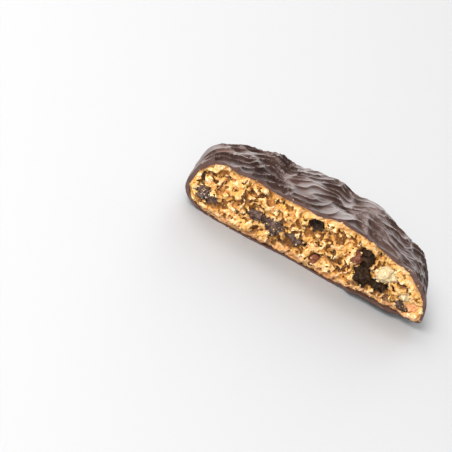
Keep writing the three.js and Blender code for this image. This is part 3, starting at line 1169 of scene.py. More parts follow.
class NodeSheet:
    """Adds and links the nodes of one tree."""

    def __init__(self, tree: NodeTree) -> None:
        """Takes the tree to work on."""
        self.tree = tree

    def add(self, kind: str, inputs: dict | None = None, **settings: object) -> Node:
        """Adds a node.

        Args:
            kind: Its type, without the leading ShaderNode.
            inputs: Values or sockets for its inputs, by name or index.
            settings: Its other properties.

        Returns:
            The node.
        """
        node = self.tree.nodes.new(kind if kind.startswith("Node") else "ShaderNode" + kind)
        for name, value in settings.items():
            setattr(node, name, value)
        for key, value in (inputs or {}).items():
            self.feed(node.inputs[key], value)
        return node

    def feed(self, socket: NodeSocket, value: object) -> None:
        """Links a socket into an input, or sets the input's own value.

        Args:
            socket: The input.
            value: An output socket, a number or a tuple.
        """
        if isinstance(value, NodeSocket):
            self.tree.links.new(value, socket)
        else:
            socket.default_value = value

    def math(self, operation: str, *values: object, clamp: bool = False) -> NodeSocket:
        """Adds a Math node.

        Args:
            operation: What it does.
            values: Its inputs.
            clamp: Whether its result stays from 0 to 1.

        Returns:
            Its output.
        """
        return self.add("Math", dict(enumerate(values)), operation=operation, use_clamp=clamp).outputs[0]

    def mix(self, share: object, first: object, second: object) -> NodeSocket:
        """Mixes two colours.

        Args:
            share: How much of the second colour.
            first: The first colour.
            second: The second colour.

        Returns:
            The mixed colour.
        """
        return self.add("Mix", {0: share, 6: first, 7: second}, data_type="RGBA").outputs[2]

    def ramp(self, value: object, stops: list[tuple[float, Colour]]) -> NodeSocket:
        """Turns a value into a colour.

        Args:
            value: The value, from 0 to 1.
            stops: Places and colours, in rising order.

        Returns:
            The colour.
        """
        node = self.add("ValToRGB", {0: value})
        elements = node.color_ramp.elements
        while len(elements) < len(stops):
            elements.new(0.5)
        for element, (place, colour) in zip(elements, stops):
            element.position, element.color = place, colour
        return node.outputs[0]

    def span(self, value: object, span: Pair, to: Pair = (0.0, 1.0)) -> NodeSocket:
        """Maps a span of values to another, held at its ends.

        Args:
            value: The value.
            span: Where the span begins and ends.
            to: What its beginning and its end become.

        Returns:
            The mapped value.
        """
        return self.add("MapRange", dict(enumerate((value, *span, *to))), clamp=True).outputs[0]


class GroupSheet(NodeSheet):
    """A shared effect, with its inputs and the places on the object at hand."""

    def __init__(self, tree: NodeTree, inputs: dict[str, object], outputs: dict[str, str]) -> None:
        """Gives a node group its named inputs and outputs.

        Args:
            tree: The group.
            inputs: Names of the inputs and their usual values, colours or numbers.
            outputs: Names of the outputs and their socket types.
        """
        super().__init__(tree)
        for name, value in inputs.items():
            kind = "NodeSocketColor" if isinstance(value, tuple) else "NodeSocketFloat"
            tree.interface.new_socket(name, in_out="INPUT", socket_type=kind).default_value = value
        for name, kind in outputs.items():
            tree.interface.new_socket(name, in_out="OUTPUT", socket_type=kind)
        self.given = self.add("NodeGroupInput").outputs
        self.place = self.add("TexCoord").outputs["Object"]


class SharedGroup(Enum):
    """Effects that several finishes use."""

    MOTTLE = "uneven_tint"
    GRAIN = "baked_grain"
    SPECKS = "crumb_specks"


class GroupWorks:
    """Builds each shared effect once."""

    MIDDLE_GREY: Colour = (0.5, 0.5, 0.5, 1)
    PATCH_CONTRAST = 3.2
    PIT_EDGE = (0.1, 0.5)
    SPECK_EDGE = (0.45, 0.3)

    @classmethod
    def get(cls, which: SharedGroup) -> NodeTree:
        """Finds or builds an effect.

        Args:
            which: The effect.

        Returns:
            Its node group.
        """
        found = bpy.data.node_groups.get(which.value)
        if found:
            return found
        tree = bpy.data.node_groups.new(which.value, "ShaderNodeTree")
        build = {SharedGroup.MOTTLE: cls.mottle, SharedGroup.GRAIN: cls.grain, SharedGroup.SPECKS: cls.specks}
        build[which](tree)
        return tree

    @classmethod
    def mottle(cls, tree: NodeTree) -> None:
        """Uneven tint: a colour that wanders between two, in soft patches with finer ones inside them.

        Args:
            tree: The group to fill.
        """
        grey = cls.MIDDLE_GREY
        inputs = {"First": grey, "Second": grey, "Patches per metre": 300.0, "Balance": 0.5}
        sheet = GroupSheet(tree, inputs, {"Color": "NodeSocketColor", "Patch": "NodeSocketFloat"})
        noise = sheet.add("TexNoise", {
            "Vector": sheet.place, "Scale": sheet.given["Patches per metre"], "Detail": 4.0, "Roughness": 0.6,
        })
        centred = sheet.math("SUBTRACT", noise.outputs[0], sheet.given["Balance"])
        patch = sheet.math("MULTIPLY_ADD", centred, cls.PATCH_CONTRAST, 0.5, clamp=True)
        colour = sheet.mix(patch, sheet.given["First"], sheet.given["Second"])
        sheet.add("NodeGroupOutput", {"Color": colour, "Patch": patch})

    @classmethod
    def grain(cls, tree: NodeTree) -> None:
        """Baked grain: a fine sandy height with small pits.

        Args:
            tree: The group to fill.
        """
        sheet = GroupSheet(tree, {"Grains per metre": 2500.0, "Pits": 0.5}, {"Height": "NodeSocketFloat"})
        where = {"Vector": sheet.place, "Scale": sheet.given["Grains per metre"]}
        noise = sheet.add("TexNoise", {**where, "Detail": 3.0, "Roughness": 0.65})
        cells = sheet.add("TexVoronoi", where)
        walls = sheet.span(cells.outputs["Distance"], cls.PIT_EDGE)
        pits = sheet.math("MULTIPLY", walls, sheet.given["Pits"])
        sheet.add("NodeGroupOutput", {"Height": sheet.math("ADD", noise.outputs[0], pits)})

    @classmethod
    def specks(cls, tree: NodeTree) -> None:
        """Crumb specks: a mask of small scattered grains that cling to a surface.

        Args:
            tree: The group to fill.
        """
        sheet = GroupSheet(tree, {"Specks per metre": 1500.0, "Cover": 0.1}, {"Mask": "NodeSocketFloat"})
        cells = sheet.add("TexVoronoi", {"Vector": sheet.place, "Scale": sheet.given["Specks per metre"]})
        chance = sheet.add("SeparateColor", {0: cells.outputs["Color"]}).outputs[0]
        chosen = sheet.math("LESS_THAN", chance, sheet.given["Cover"])
        round_speck = sheet.span(cells.outputs["Distance"], cls.SPECK_EDGE)
        sheet.add("NodeGroupOutput", {"Mask": sheet.math("MULTIPLY", chosen, round_speck)})


class FinishSheet(NodeSheet):
    """One material, with its shader and the shared effects at hand."""

    def __init__(self, name: str) -> None:
        """Makes the material.

        Args:
            name: Name of the finish.
        """
        self.material = bpy.data.materials.new(name)
        self.material.use_nodes = True
        self.material.node_tree.nodes.clear()
        super().__init__(self.material.node_tree)
        self.shader = self.add("BsdfPrincipled")
        self.add("OutputMaterial", {"Surface": self.shader.outputs[0]})

    def group(self, which: SharedGroup, inputs: dict[str, object]) -> Outputs:
        """Places a shared effect.

        Args:
            which: The effect.
            inputs: Its values in this finish.

        Returns:
            The effect's outputs.
        """
        node = self.add("Group", node_tree=GroupWorks.get(which))
        for key, value in inputs.items():
            self.feed(node.inputs[key], value)
        return node.outputs

    def mottle(self, first: Colour, second: Colour, patches: float, balance: float = 0.5) -> Outputs:
        """Places an uneven tint.

        Args:
            first: One colour.
            second: The other colour.
            patches: How many patches there are to a metre.
            balance: How much there is of the first colour.

        Returns:
            The effect's outputs.
        """
        inputs = {"First": first, "Second": second, "Patches per metre": patches, "Balance": balance}
        return self.group(SharedGroup.MOTTLE, inputs)

    def grain(self, grains: float, pits: float) -> NodeSocket:
        """Height of a baked grain, with so many grains to a metre."""
        return self.group(SharedGroup.GRAIN, {"Grains per metre": grains, "Pits": pits})["Height"]

    def specks(self, specks: float, cover: float) -> NodeSocket:
        """Mask of clinging crumb specks, with so many to a metre."""
        return self.group(SharedGroup.SPECKS, {"Specks per metre": specks, "Cover": cover})["Mask"]

    def mask(self, name: str) -> NodeSocket:
        """Reads one of the values that the mesh stores at its points."""
        return self.add("Attribute", attribute_name=name, attribute_type="GEOMETRY").outputs["Fac"]

    def bump(self, height: object, distance: float, strength: float) -> None:
        """Raises the surface's normal from a height.

        Args:
            height: The height, in steps of distance.
            distance: How high 1 is, in metres.
            strength: Share of the effect.
        """
        node = self.add("Bump", {"Height": height, "Distance": distance, "Strength": strength})
        self.feed(self.shader.inputs["Normal"], node.outputs[0])

    def set(self, **values: object) -> None:
        """Sets the shader's own sockets, named with underscores for blanks."""
        for name, value in values.items():
            self.feed(self.shader.inputs[name.replace("_", " ")], value)


@dataclass(frozen=True)
class ChocolateFinish:
    """Dark chocolate: satin where it set against air, dull where it snapped or was scuffed."""

    name: str = "dark_chocolate"
    dark: Colour = (0.034, 0.0165, 0.0125, 1)
    light: Colour = (0.068, 0.034, 0.0265, 1)
    patches: float = 180.0
    snapped: Colour = (0.085, 0.045, 0.038, 1)
    snapped_patches: float = 900.0
    bloom: Colour = (0.12, 0.066, 0.052, 1)
    bloom_cover: float = 0.8
    sheen: Colour = (1.0, 0.87, 0.83, 1)
    crumb: Colour = (0.62, 0.36, 0.13, 1)
    crumb_specks: float = 2200.0
    crumb_cover: float = 0.025
    rough: float = 0.33
    rough_patches: float = 0.08
    rough_dull: float = 0.26
    grains: float = 2600.0
    pits: float = 0.2
    bump: float = 0.00003

    def make(self) -> Material:
        """Builds the material.

        Returns:
            The material.
        """
        sheet = FinishSheet(self.name)
        tint = sheet.mottle(self.dark, self.light, self.patches)
        snap = sheet.mask("snapped")
        dull = sheet.mottle(self.snapped, self.light, self.snapped_patches)
        colour = sheet.mix(snap, tint["Color"], dull["Color"])
        scuff = sheet.mask("scuff")
        colour = sheet.mix(sheet.math("MULTIPLY", scuff, self.bloom_cover), colour, self.bloom)
        near = sheet.math("MULTIPLY", sheet.specks(self.crumb_specks, self.crumb_cover), snap)
        colour = sheet.mix(near, colour, self.crumb)
        rough = sheet.math("MULTIPLY_ADD", tint["Patch"], self.rough_patches, self.rough)
        worn = sheet.math("MULTIPLY", sheet.math("MAXIMUM", snap, scuff), self.rough_dull)
        rough = sheet.math("ADD", rough, worn)
        sheet.bump(sheet.grain(self.grains, self.pits), self.bump, 0.6)
        sheet.set(Base_Color=colour, Roughness=rough, IOR=1.5, Specular_Tint=self.sheen)
        return sheet.material


@dataclass(frozen=True)
class CrumbFinish:
    """Open golden crumb: pale on its torn edges, amber in its cells, brown deep down as painted shade, and
    brown in its crust.

    The ramp runs from its torn edges to the bottom of its cells, as far down as its reach in millimetres; its
    darkening with depth is painted shade, on top of the crumb's own amber tone.
    """

    name: str = "golden_crumb"
    cream: Colour = (0.86, 0.62, 0.355, 1)
    edge: Colour = (0.77, 0.44, 0.175, 1)
    cell: Colour = (0.70, 0.35, 0.085, 1)
    pit: Colour = (0.48, 0.20, 0.040, 1)
    # Painted shade: the darkest stop, at the bottom of the cells.
    deep: Colour = (0.12, 0.044, 0.012, 1)
    stops: tuple[float, ...] = (0.0, 0.10, 0.26, 0.48, 0.9)
    crust: Colour = (0.54, 0.285, 0.15, 1)
    # Colour of the stains beside pieces and of the painted shade in the larger hollows.
    stain_and_shade: Colour = (0.045, 0.022, 0.012, 1)
    reach: float = 3.4
    offset: float = 0.7
    coarse_patches: float = 520.0
    coarse_balance: float = 0.53
    coarse_weight: float = 1.1
    fine_patches: float = 1500.0
    fine_weight: float = 0.9
    crust_balance: float = 0.56
    grains: float = 1700.0
    pits: float = 0.6
    bump: float = 0.0003
    soft_radius: Triple = (1.0, 0.5, 0.16)

    def make(self) -> Material:
        """Builds the material.

        Returns:
            The material.
        """
        sheet = FinishSheet(self.name)
        black, white = (0, 0, 0, 1), (1, 1, 1, 1)
        coarse = sheet.mottle(black, white, self.coarse_patches, self.coarse_balance)["Patch"]
        fine = sheet.mottle(black, white, self.fine_patches)["Patch"]
        wander = sheet.math("MULTIPLY", coarse, self.coarse_weight)
        wander = sheet.math("MULTIPLY_ADD", fine, self.fine_weight, wander)
        # The crumb's tone, darkened with depth behind the torn edges as painted shade.
        depth = sheet.math("ADD", sheet.math("SUBTRACT", sheet.mask("pit"), self.offset), wander)
        tone_and_shade_depth = sheet.math("DIVIDE", depth, self.reach, clamp=True)
        colours = (self.cream, self.edge, self.cell, self.pit, self.deep)
        colour = sheet.ramp(tone_and_shade_depth, list(zip(self.stops, colours)))
        crust = sheet.mottle(self.crust, self.pit, self.fine_patches, self.crust_balance)
        colour = sheet.mix(sheet.mask("crust"), colour, crust["Color"])
        # Stains beside pieces, and painted shade in the larger hollows.
        colour = sheet.mix(sheet.mask("stain_and_shade"), colour, self.stain_and_shade)
        sheet.set(Base_Color=colour, Roughness=0.82, Subsurface_Weight=0.5, Subsurface_Scale=0.001)
        sheet.set(Subsurface_Radius=self.soft_radius)
        sheet.bump(sheet.grain(self.grains, self.pits), self.bump, 0.9)
        return sheet.material


@dataclass(frozen=True)
class PieceFinish:
    """A piece baked into the crumb, with crumb clinging to it."""

    name: str
    first: Colour
    second: Colour
    patches: float
    rough: float
    bump: float
    crumb_cover: float
    gloss: float = 0.5
    crumb: Colour = (0.66, 0.39, 0.14, 1)
    grains: float = 1700.0
    pits: float = 0.4
    rough_patches: float = 0.15

    def make(self) -> Material:
        """Builds the material.

        Returns:
            The material.
        """
        sheet = FinishSheet(self.name)
        tint = sheet.mottle(self.first, self.second, self.patches)
        specks = sheet.specks(self.grains, self.crumb_cover)
        colour = sheet.mix(specks, tint["Color"], self.crumb)
        rough = sheet.math("MULTIPLY_ADD", tint["Patch"], self.rough_patches, self.rough)
        height = sheet.math("ADD", sheet.grain(self.grains, self.pits), specks)
        sheet.bump(height, self.bump, 0.8)
        sheet.set(Base_Color=colour, Roughness=rough, Specular_IOR_Level=self.gloss)
        return sheet.material


PIECE_FINISHES = {
    Kind.CHOCOLATE: PieceFinish(
        "chocolate_chunk", first=(0.020, 0.009, 0.006, 1), second=(0.155, 0.094, 0.074, 1), patches=1100,
        rough=0.6, bump=0.0003, crumb_cover=0.06, gloss=0.2),
    Kind.DARK_FRUIT: PieceFinish(
        "dark_fruit", first=(0.006, 0.004, 0.003, 1), second=(0.045, 0.020, 0.007, 1), patches=900,
        rough=0.5, bump=0.00012, crumb_cover=0.0, gloss=0.15),
    Kind.RED_FRUIT: PieceFinish(
        "red_fruit", first=(0.22, 0.060, 0.022, 1), second=(0.08, 0.022, 0.010, 1), patches=800,
        rough=0.4, bump=0.0001, crumb_cover=0.06),
    Kind.CANDIED_PEEL: PieceFinish(
        "candied_peel", first=(0.50, 0.17, 0.065, 1), second=(0.66, 0.34, 0.14, 1), patches=1100,
        rough=0.6, bump=0.00016, crumb_cover=0.10),
    Kind.NUT: PieceFinish(
        "pale_nut", first=(0.66, 0.54, 0.33, 1), second=(0.46, 0.33, 0.15, 1), patches=1300,
        rough=0.7, bump=0.00035, crumb_cover=0.0),
}


@dataclass(frozen=True)
class SugarFinish:
    """Coarse sugar, pale and glassy."""

    name: str = "sugar"
    pale: Colour = (0.80, 0.76, 0.66, 1)
    dusty: Colour = (0.60, 0.55, 0.42, 1)
    patches: float = 700.0

    def make(self) -> Material:
        """Builds the material.

        Returns:
            The material.
        """
        sheet = FinishSheet(self.name)
        sheet.set(Base_Color=sheet.mottle(self.pale, self.dusty, self.patches)["Color"], Roughness=0.25)
        return sheet.material


@dataclass(frozen=True)
class FloorFinish:
    """Smooth pale table top."""

    name: str = "pale_floor"
    colour: Colour = (0.385, 0.385, 0.388, 1)

    def make(self) -> Material:
        """Builds the material.

        Returns:
            The material.
        """
        sheet = FinishSheet(self.name)
        sheet.set(Base_Color=self.colour, Roughness=0.5)
        return sheet.material


# ------------------------------------------------------------------------------------------------
# The parts of the cookie
# ------------------------------------------------------------------------------------------------


@dataclass(frozen=True)
class Scuff:
    """A rubbed, dull patch on the coat."""

    middle: Triple = (-30.0, 9.5, 13.4)
    spread: Triple = (3.2, 2.6, 2.5)
    ragged_size: float = 1.4
    ragged: Pair = (0.7, 0.6)
    edge: Pair = (0.35, 0.6)

    def at(self, grain: SmoothNoise, points: Array) -> Array:
        """Finds how scuffed the coat is.

        Args:
            grain: Noise that makes the patch's edge ragged.
            points: The coat's points, one a row.

        Returns:
            A share from 0 to 1 for each point.
        """
        patch = np.exp(-(((points - np.array(self.middle)) / np.array(self.spread)) ** 2).sum(axis=1))
        uneven = 0.5 + 0.5 * grain.at(*points.T, self.ragged_size)
        return smoothstep(*self.edge, patch * (self.ragged[0] + self.ragged[1] * uneven))


@dataclass
class Coat:
    """The chocolate all round the crumb, open at the broken face."""

    form: CookieForm
    face: BrokenFace
    outside_subdivisions: int = 8
    lining_subdivisions: int = 6
    cutter_step: float = 0.25
    cutter_x: Pair = (-40.0, 40.0)
    cutter_z: Pair = (-4.0, 21.0)
    cutter_front: float = -48.0
    snapped_span: Pair = (0.02, 0.12)
    sharp_angle: float = 48.0
    scuff: Scuff = Scuff()

    def cutter(self) -> Mesh:
        """Makes the block whose back is the broken face: what it overlaps is broken away.

        Returns:
            The block's closed mesh.
        """
        step = self.cutter_step
        x, z = (np.arange(low, high + step / 2, step) for low, high in (self.cutter_x, self.cutter_z))
        grid_x, grid_z = np.meshgrid(x, z, indexing="ij")
        back = np.column_stack([grid_x.ravel(), self.face.coat(grid_x, grid_z).ravel(), grid_z.ravel()])
        front = np.column_stack([grid_x.ravel(), np.full(grid_x.size, self.cutter_front), grid_z.ravel()])
        count = grid_x.size
        index = np.arange(count).reshape(grid_x.shape)
        corners = (index[:-1, :-1], index[1:, :-1], index[1:, 1:], index[:-1, 1:])
        a, b, c, d = (corner.ravel() for corner in corners)
        sheet = np.concatenate([np.column_stack([a, c, b]), np.column_stack([a, d, c])])
        border = np.concatenate([index[:, 0], index[-1, 1:], index[-2::-1, -1], index[0, -2:0:-1]])
        after = np.roll(border, -1)
        wall = np.concatenate([
            np.column_stack([border, after, after + count]),
            np.column_stack([border, after + count, border + count]),
        ])
        triangles = np.concatenate([sheet, sheet[:, ::-1] + count, wall])
        return MeshWorks.mesh("break_cutter", np.concatenate([back, front]), triangles)

    def body(self, name: str, subdivisions: int, layer: Layer) -> Mesh:
        """Makes one of the whole cookie's bodies.

        Args:
            name: Name of the mesh.
            subdivisions: How finely it is divided.
            layer: Which body.

        Returns:
            Its closed mesh.
        """
        directions, triangles = MeshWorks.ball(subdivisions)
        return MeshWorks.mesh(name, self.form.on_body(directions, layer), triangles)

    def build(self, placement: Placement) -> Object:
        """Builds the coat and fixes where everything lies.

        Args:
            placement: Is set here, from the coat's own box.

        Returns:
            The coat.
        """
        outside = self.body("outside", self.outside_subdivisions, OUTSIDE)
        lining = self.body("lining", self.lining_subdivisions, LINING)
        mesh = MeshWorks.subtract("cookie_coat", outside, [lining, self.cutter()])
        points = MeshWorks.points(mesh)
        x, y, z = points.T
        MeshWorks.mask(mesh, "snapped", 1 - smoothstep(*self.snapped_span, y - self.face.coat(x, z)))
        MeshWorks.mask(mesh, "scuff", self.scuff.at(self.form.ripples.grain, points))
        placement.fit(points)
        coat = placement.lay("cookie_coat", mesh, ChocolateFinish().make(), "chocolate_coat")
        mesh.shade_smooth()
        mesh.set_sharp_from_angle(angle=math.radians(self.sharp_angle))
        return coat


@dataclass(frozen=True)
class Foam:
    """The cells of the crumb: large and small ones, flattened to slits towards the base."""

    depth: float = 2.8
    bubbles: FoamCells = FoamCells(pitch=(2.5, 2.2, 1.9), jitter=0.95, size_spread=1.5, seed=5)
    small_bubbles: FoamCells = FoamCells(pitch=(1.1, 1.0, 0.85), jitter=0.9, size_spread=0.62, seed=8)
    warp: float = 0.8
    warp_size: float = 2.6
    warp_shift: float = 20.0
    bottom_span: Pair = (1.2, 2.8)
    bottom_wider: float = 0.3
    bottom_flatter: float = 0.9
    bottom_walls: float = 1.1
    skin_span: Pair = (0.7, 2.2)
    skin_walls: float = 1.3
    rough_walls: float = 0.35
    rough_size: float = 1.3
    small_uneven: float = 0.2
    small_uneven_size: float = 3.0
    small_skin_walls: float = 0.2
    small_walls: float = -0.13
    slit_stretch: Pair = (0.5, 1.5)
    edge_span: Pair = (0.25, 0.8)
    edge_walls: float = 0.6
    closing_run: float = 1.0
    closing_walls: float = 6.0

    def walls(self, grain: SmoothNoise, x: Array, y: Array, z: Array, over_base: Array, inside: Array,
              behind: Array) -> Array:
        """Measures how deep places lie in the walls between the cells.

        Args:
            grain: Noise that makes the walls uneven.
            x: Places along X.
            y: Places along Y.
            z: Places along Z.
            over_base: Height over the crumb's base.
            inside: Distance in from the crumb's outside.
            behind: Distance behind the broken face.

        Returns:
            Depth in the walls, less than 0 in the cells.
        """
        bent = [axis + self.warp * grain.at(x, y + self.warp_shift * n, z, self.warp_size)
                for n, axis in enumerate((x, y, z))]
        bottom = 1 - smoothstep(*self.bottom_span, over_base)
        skin = 1 - smoothstep(*self.skin_span, inside)
        edge = 1 - smoothstep(*self.edge_span, inside)
        wider, flatter = 1 - self.bottom_wider * bottom, 1 + self.bottom_flatter * bottom
        large = self.bubbles.distance(bent[0] * wider, bent[1], bent[2] * flatter)
        large = large + self.rough_walls * grain.layered(x, y, z, self.rough_size, 2)
        large = large + self.skin_walls * skin + self.bottom_walls * bottom
        small = self.small_bubbles.distance(*bent)
        small = small + self.small_uneven * grain.at(x, y, z, self.small_uneven_size)
        small = small + self.small_skin_walls * skin + self.small_walls
        slits = self.small_bubbles.distance(self.slit_stretch[0] * x, y, self.slit_stretch[1] * z)
        small = small + (np.minimum(small, slits) - small) * bottom + self.edge_walls * edge
        closed = self.closing_walls * smoothstep(self.depth - self.closing_run, self.depth, behind)
        return np.minimum(large, small) + closed


@dataclass
class CrumbMasks:
    """Where the crumb lies deep and near its crust, and where it is stained beside pieces or darkened as
    painted shade in its cells and hollows.
    """

    form: CookieForm
    face: BrokenFace
    grain: SmoothNoise
    deepest_pit: float = 6.0
    base_span: Pair = (0.6, 2.6)
    base_uneven: float = 0.6
    base_uneven_size: float = 2.0
    base_share: float = 0.75
    top_span: Pair = (0.2, 1.3)
    top_share: float = 0.5
    ragged: float = 0.25
    ragged_size: float = 1.0
    hollow_rim: float = 0.3
    hollow_depth: Pair = (0.3, 1.1)
    hollow_edge: Pair = (0.85, 1.1)
    piece_reach: float = 7.0
    piece_depth: float = 3.0
    piece_share: float = 0.85

    def crust(self, x: Array, y: Array, z: Array) -> Array:
        """Finds how near the crust points lie.

        Args:
            x: Places along X.
            y: Places along Y.
            z: Places along Z.

        Returns:
            Share of the crust's colour, highest along the base.
        """
        over_base = z - self.form.layer_base(x, CRUMB)
        uneven = self.base_uneven * self.grain.at(x, y, z, self.base_uneven_size)
        low = 1 - smoothstep(*self.base_span, over_base + uneven)
        angle = np.abs(np.arctan2(y, x))
        from_rim = self.form.layer_radius(angle, LINING) - np.hypot(x, y)
        under_top = self.form.layer_top(x, y, angle, from_rim, CRUMB) - z
        return np.maximum(self.base_share * low, self.top_share * (1 - smoothstep(*self.top_span, under_top)))

    def stain_and_shade(self, x: Array, y: Array, z: Array, below: Array) -> Array:
        """Finds how dark points are: painted shade deep in the larger cavities, and stains beside chocolate
        and dark fruit.

        Args:
            x: Places along X.
            y: Places along Y.
            z: Places along Z.
            below: How far behind the torn edges they lie.

        Returns:
            Share of the dark colour of stains and painted shade.
        """
        stain_and_shade = np.zeros(len(x))
        ragged = self.ragged * self.grain.at(x, y, z, self.ragged_size)
        # Painted shade deep in the larger hollows, as dark as each hollow's walls are given.
        for hollow in HOLLOWS:
            reach_x, reach_z = hollow.half_width + self.hollow_rim, hollow.half_height + self.hollow_rim
            off = np.hypot((x - hollow.x) / reach_x, (z - hollow.z) / reach_z)
            inside = smoothstep(*self.hollow_depth, below) * (1 - smoothstep(*self.hollow_edge, off + ragged))
            stain_and_shade = np.maximum(stain_and_shade, hollow.dark * inside)
        # Stains beside chocolate and dark fruit.
        for piece in INCLUSIONS:
            if piece.kind in STAIN_REACH:
                near = (np.abs(x - piece.x) < self.piece_reach) & (np.abs(z - piece.z) < self.piece_reach)
                near &= y < self.piece_depth
                off = piece.outside(self.face, x[near], y[near], z[near]) + ragged[near]
                beside = self.piece_share * (1 - smoothstep(0.0, STAIN_REACH[piece.kind], off))
                stain_and_shade[near] = np.maximum(stain_and_shade[near], beside)
        return stain_and_shade

    def store(self, mesh: Mesh, points: Array, below: Array) -> None:
        """Stores the masks for the crumb's finish.

        Args:
            mesh: The crumb's mesh.
            points: Its points, one a row.
            below: How far behind the torn edges they lie.
        """
        # Depth behind the torn edges, which the crumb's finish turns into painted shade.
        MeshWorks.mask(mesh, "pit", np.clip(below, 0, self.deepest_pit))
        MeshWorks.mask(mesh, "crust", self.crust(*points.T))
        MeshWorks.mask(mesh, "stain_and_shade", self.stain_and_shade(*points.T, below))


@dataclass
class Crumb:
    """The baked crumb, torn open by the break."""

    form: CookieForm
    face: BrokenFace
    foam: Foam = Foam()
    foam_outside: float = 0.6
    foam_beyond: float = 0.3
    voxel: float = 0.19
    back_room: float = 3.0
    side_room: float = 0.8
    reach_y: Pair = (-2.2, 6.6)
    reach_z: Pair = (-0.6, 18.2)
    most_triangles: int = 180000
    rest_subdivisions: int = 5
    rest_overlap: float = 4.0
    rest_cut: tuple[Pair, Pair] = ((-50.0, 50.0), (-10.0, 30.0))
    rest_cut_front: float = -60.0
    edge_setback: float = 0.4
    edge_run: float = 1.4
    sandy: float = 0.2
    sandy_size: float = 0.75
    hollow_ragged: float = 0.35
    hollow_ragged_size: float = 1.3
    pocket_reach: Pair = (1.0, 1.4)
    pocket_room: float = 0.06
    pocket_opening: float = 0.3
    clinging: float = 0.5
    clinging_size: float = 1.4
    ridge_reach: float = 1.0
    ridge_rounds: int = 3
    ridge_blur: int = 2
    grain: SmoothNoise = field(default_factory=lambda: SmoothNoise(31))

    def carve_hollow(self, solid: Array, x: Array, behind: Array, z: Array, hollow: Hollow) -> None:
        """Opens a larger cavity, with ragged walls.

        Args:
            solid: How deep each place lies in the crumb, which is changed.
            x: Places along X.
            behind: Places behind the face.
            z: Places along Z.
            hollow: The cavity.
        """
        near = np.abs(x - hollow.x) < hollow.half_width * 2
        near &= np.abs(z - hollow.z) < hollow.half_height * 2
        x, behind, z = x[near], behind[near], z[near]
        ragged = self.hollow_ragged * self.grain.layered(x, behind, z, self.hollow_ragged_size, 2)
        off = ((x - hollow.x) / hollow.half_width) ** 2 + (np.maximum(behind, 0) / hollow.depth) ** 2
        off = np.sqrt(off + ((z - hollow.z) / hollow.half_height) ** 2)
        size = min(hollow.half_width, hollow.half_height)
        solid[near] = np.minimum(solid[near], (off - 1) * size + ragged)

    def carve_pocket(self, solid: Array, x: Array, y: Array, z: Array, piece: Inclusion) -> None:
        """Frees a baked-in piece towards the front, so that it shows, with some crumb clinging to it.

        Args:
            solid: How deep each place lies in the crumb, which is changed.
            x: Places along X.
            y: Places along Y.
            z: Places along Z.
            piece: The piece.
        """
        reach = max(piece.half) * self.pocket_reach[1] + self.pocket_reach[0]
        near = (np.abs(x - piece.x) < reach) & (np.abs(z - piece.z) < reach)
        x, y, z = x[near], y[near], z[near]
        centre = piece.centre(self.face)[1]
        inwards = y - centre
        freed = centre + np.where(inwards < 0, inwards * self.pocket_opening, inwards)
        clinging = self.clinging * np.maximum(0, self.grain.layered(x, y, z, self.clinging_size, 2))
        outside = piece.outside(self.face, x, freed, z) + self.pocket_room + clinging
        solid[near] = np.minimum(solid[near], outside)

    def solid_field(self) -> tuple[Array, list[Array]]:
        """Works out the crumb near the break on a grid.

        Returns:
            How deep each place lies in the crumb, and the grid's places along each axis.
        """
        half = self.form.half_width + self.side_room
        axes = [np.arange(low, high, self.voxel) for low, high in ((-half, half), self.reach_y, self.reach_z)]
        inside = self.form.depth_inside(*axes, CRUMB)
        grid = np.meshgrid(*axes, indexing="ij")
        face = self.face.crumb(*np.meshgrid(axes[0], axes[2], indexing="ij"))
        behind = (grid[1] - face[:, None, :]).astype(np.float32)
        behind -= self.edge_setback * (1 - smoothstep(0.0, self.edge_run, inside))
        to_back = (self.reach_y[1] - self.back_room * self.voxel) - grid[1]
        solid = np.minimum(np.minimum(inside, behind), to_back.astype(np.float32))
        active = (solid > -self.foam_outside) & (behind < self.foam.depth + self.foam_beyond)
        x, y, z = (g[active].astype(np.float32) for g in grid)
        over_base = z - self.form.layer_base(x, CRUMB)
        walls = self.foam.walls(self.grain, x, y, z, over_base, inside[active], behind[active])
        sandy = self.sandy * self.grain.layered(x, y, z, self.sandy_size, 2)
        solid[active] = np.minimum(solid[active], walls) + sandy
        x, y, z = grid
        for hollow in HOLLOWS:
            self.carve_hollow(solid, x, behind, z, hollow)
        for piece in INCLUSIONS:
            self.carve_pocket(solid, x, y, z, piece)
        return solid, axes

    def ridge_line(self, solid: Array, axes: list[Array]) -> Array:
        """Finds how far forward the torn edges round each place stand.

        Args:
            solid: How deep each place lies in the crumb.
            axes: The grid's places along each axis.

        Returns:
            A place in Y for each X and Z.
        """
        filled = solid > 0
        first = np.where(filled.any(axis=1), axes[1][filled.argmax(axis=1)], self.reach_y[1])
        reach = round(self.ridge_reach / self.voxel)
        best = first.copy()
        for i, j in product(range(-reach, reach + 1), repeat=2):
            if i * i + j * j <= reach * reach:
                best = np.minimum(best, np.roll(first, (i, j), axis=(0, 1)))
        for _ in range(self.ridge_rounds):
            steps = product((-self.ridge_blur, self.ridge_blur), (0, 1))
            around = [np.roll(best, step, axis=axis) for step, axis in steps]
            best = (best + sum(around)) / (1 + len(around))
        return best

    def below_ridges(self, x: Array, y: Array, z: Array, ridge: Array, axes: list[Array]) -> Array:
        """Measures how far behind the torn edges round it each point lies.

        Args:
            x: The points' places along X.
            y: Their places along Y.
            z: Their places along Z.
            ridge: How far forward the torn edges stand.
            axes: The grid's places along each axis.

        Returns:
            The distance of each point.
        """
        i, k = (np.clip(np.round((place - axis[0]) / self.voxel).astype(int), 0, size - 1)
                for place, axis, size in ((x, axes[0], ridge.shape[0]), (z, axes[2], ridge.shape[1])))
        return y - ridge[i, k]

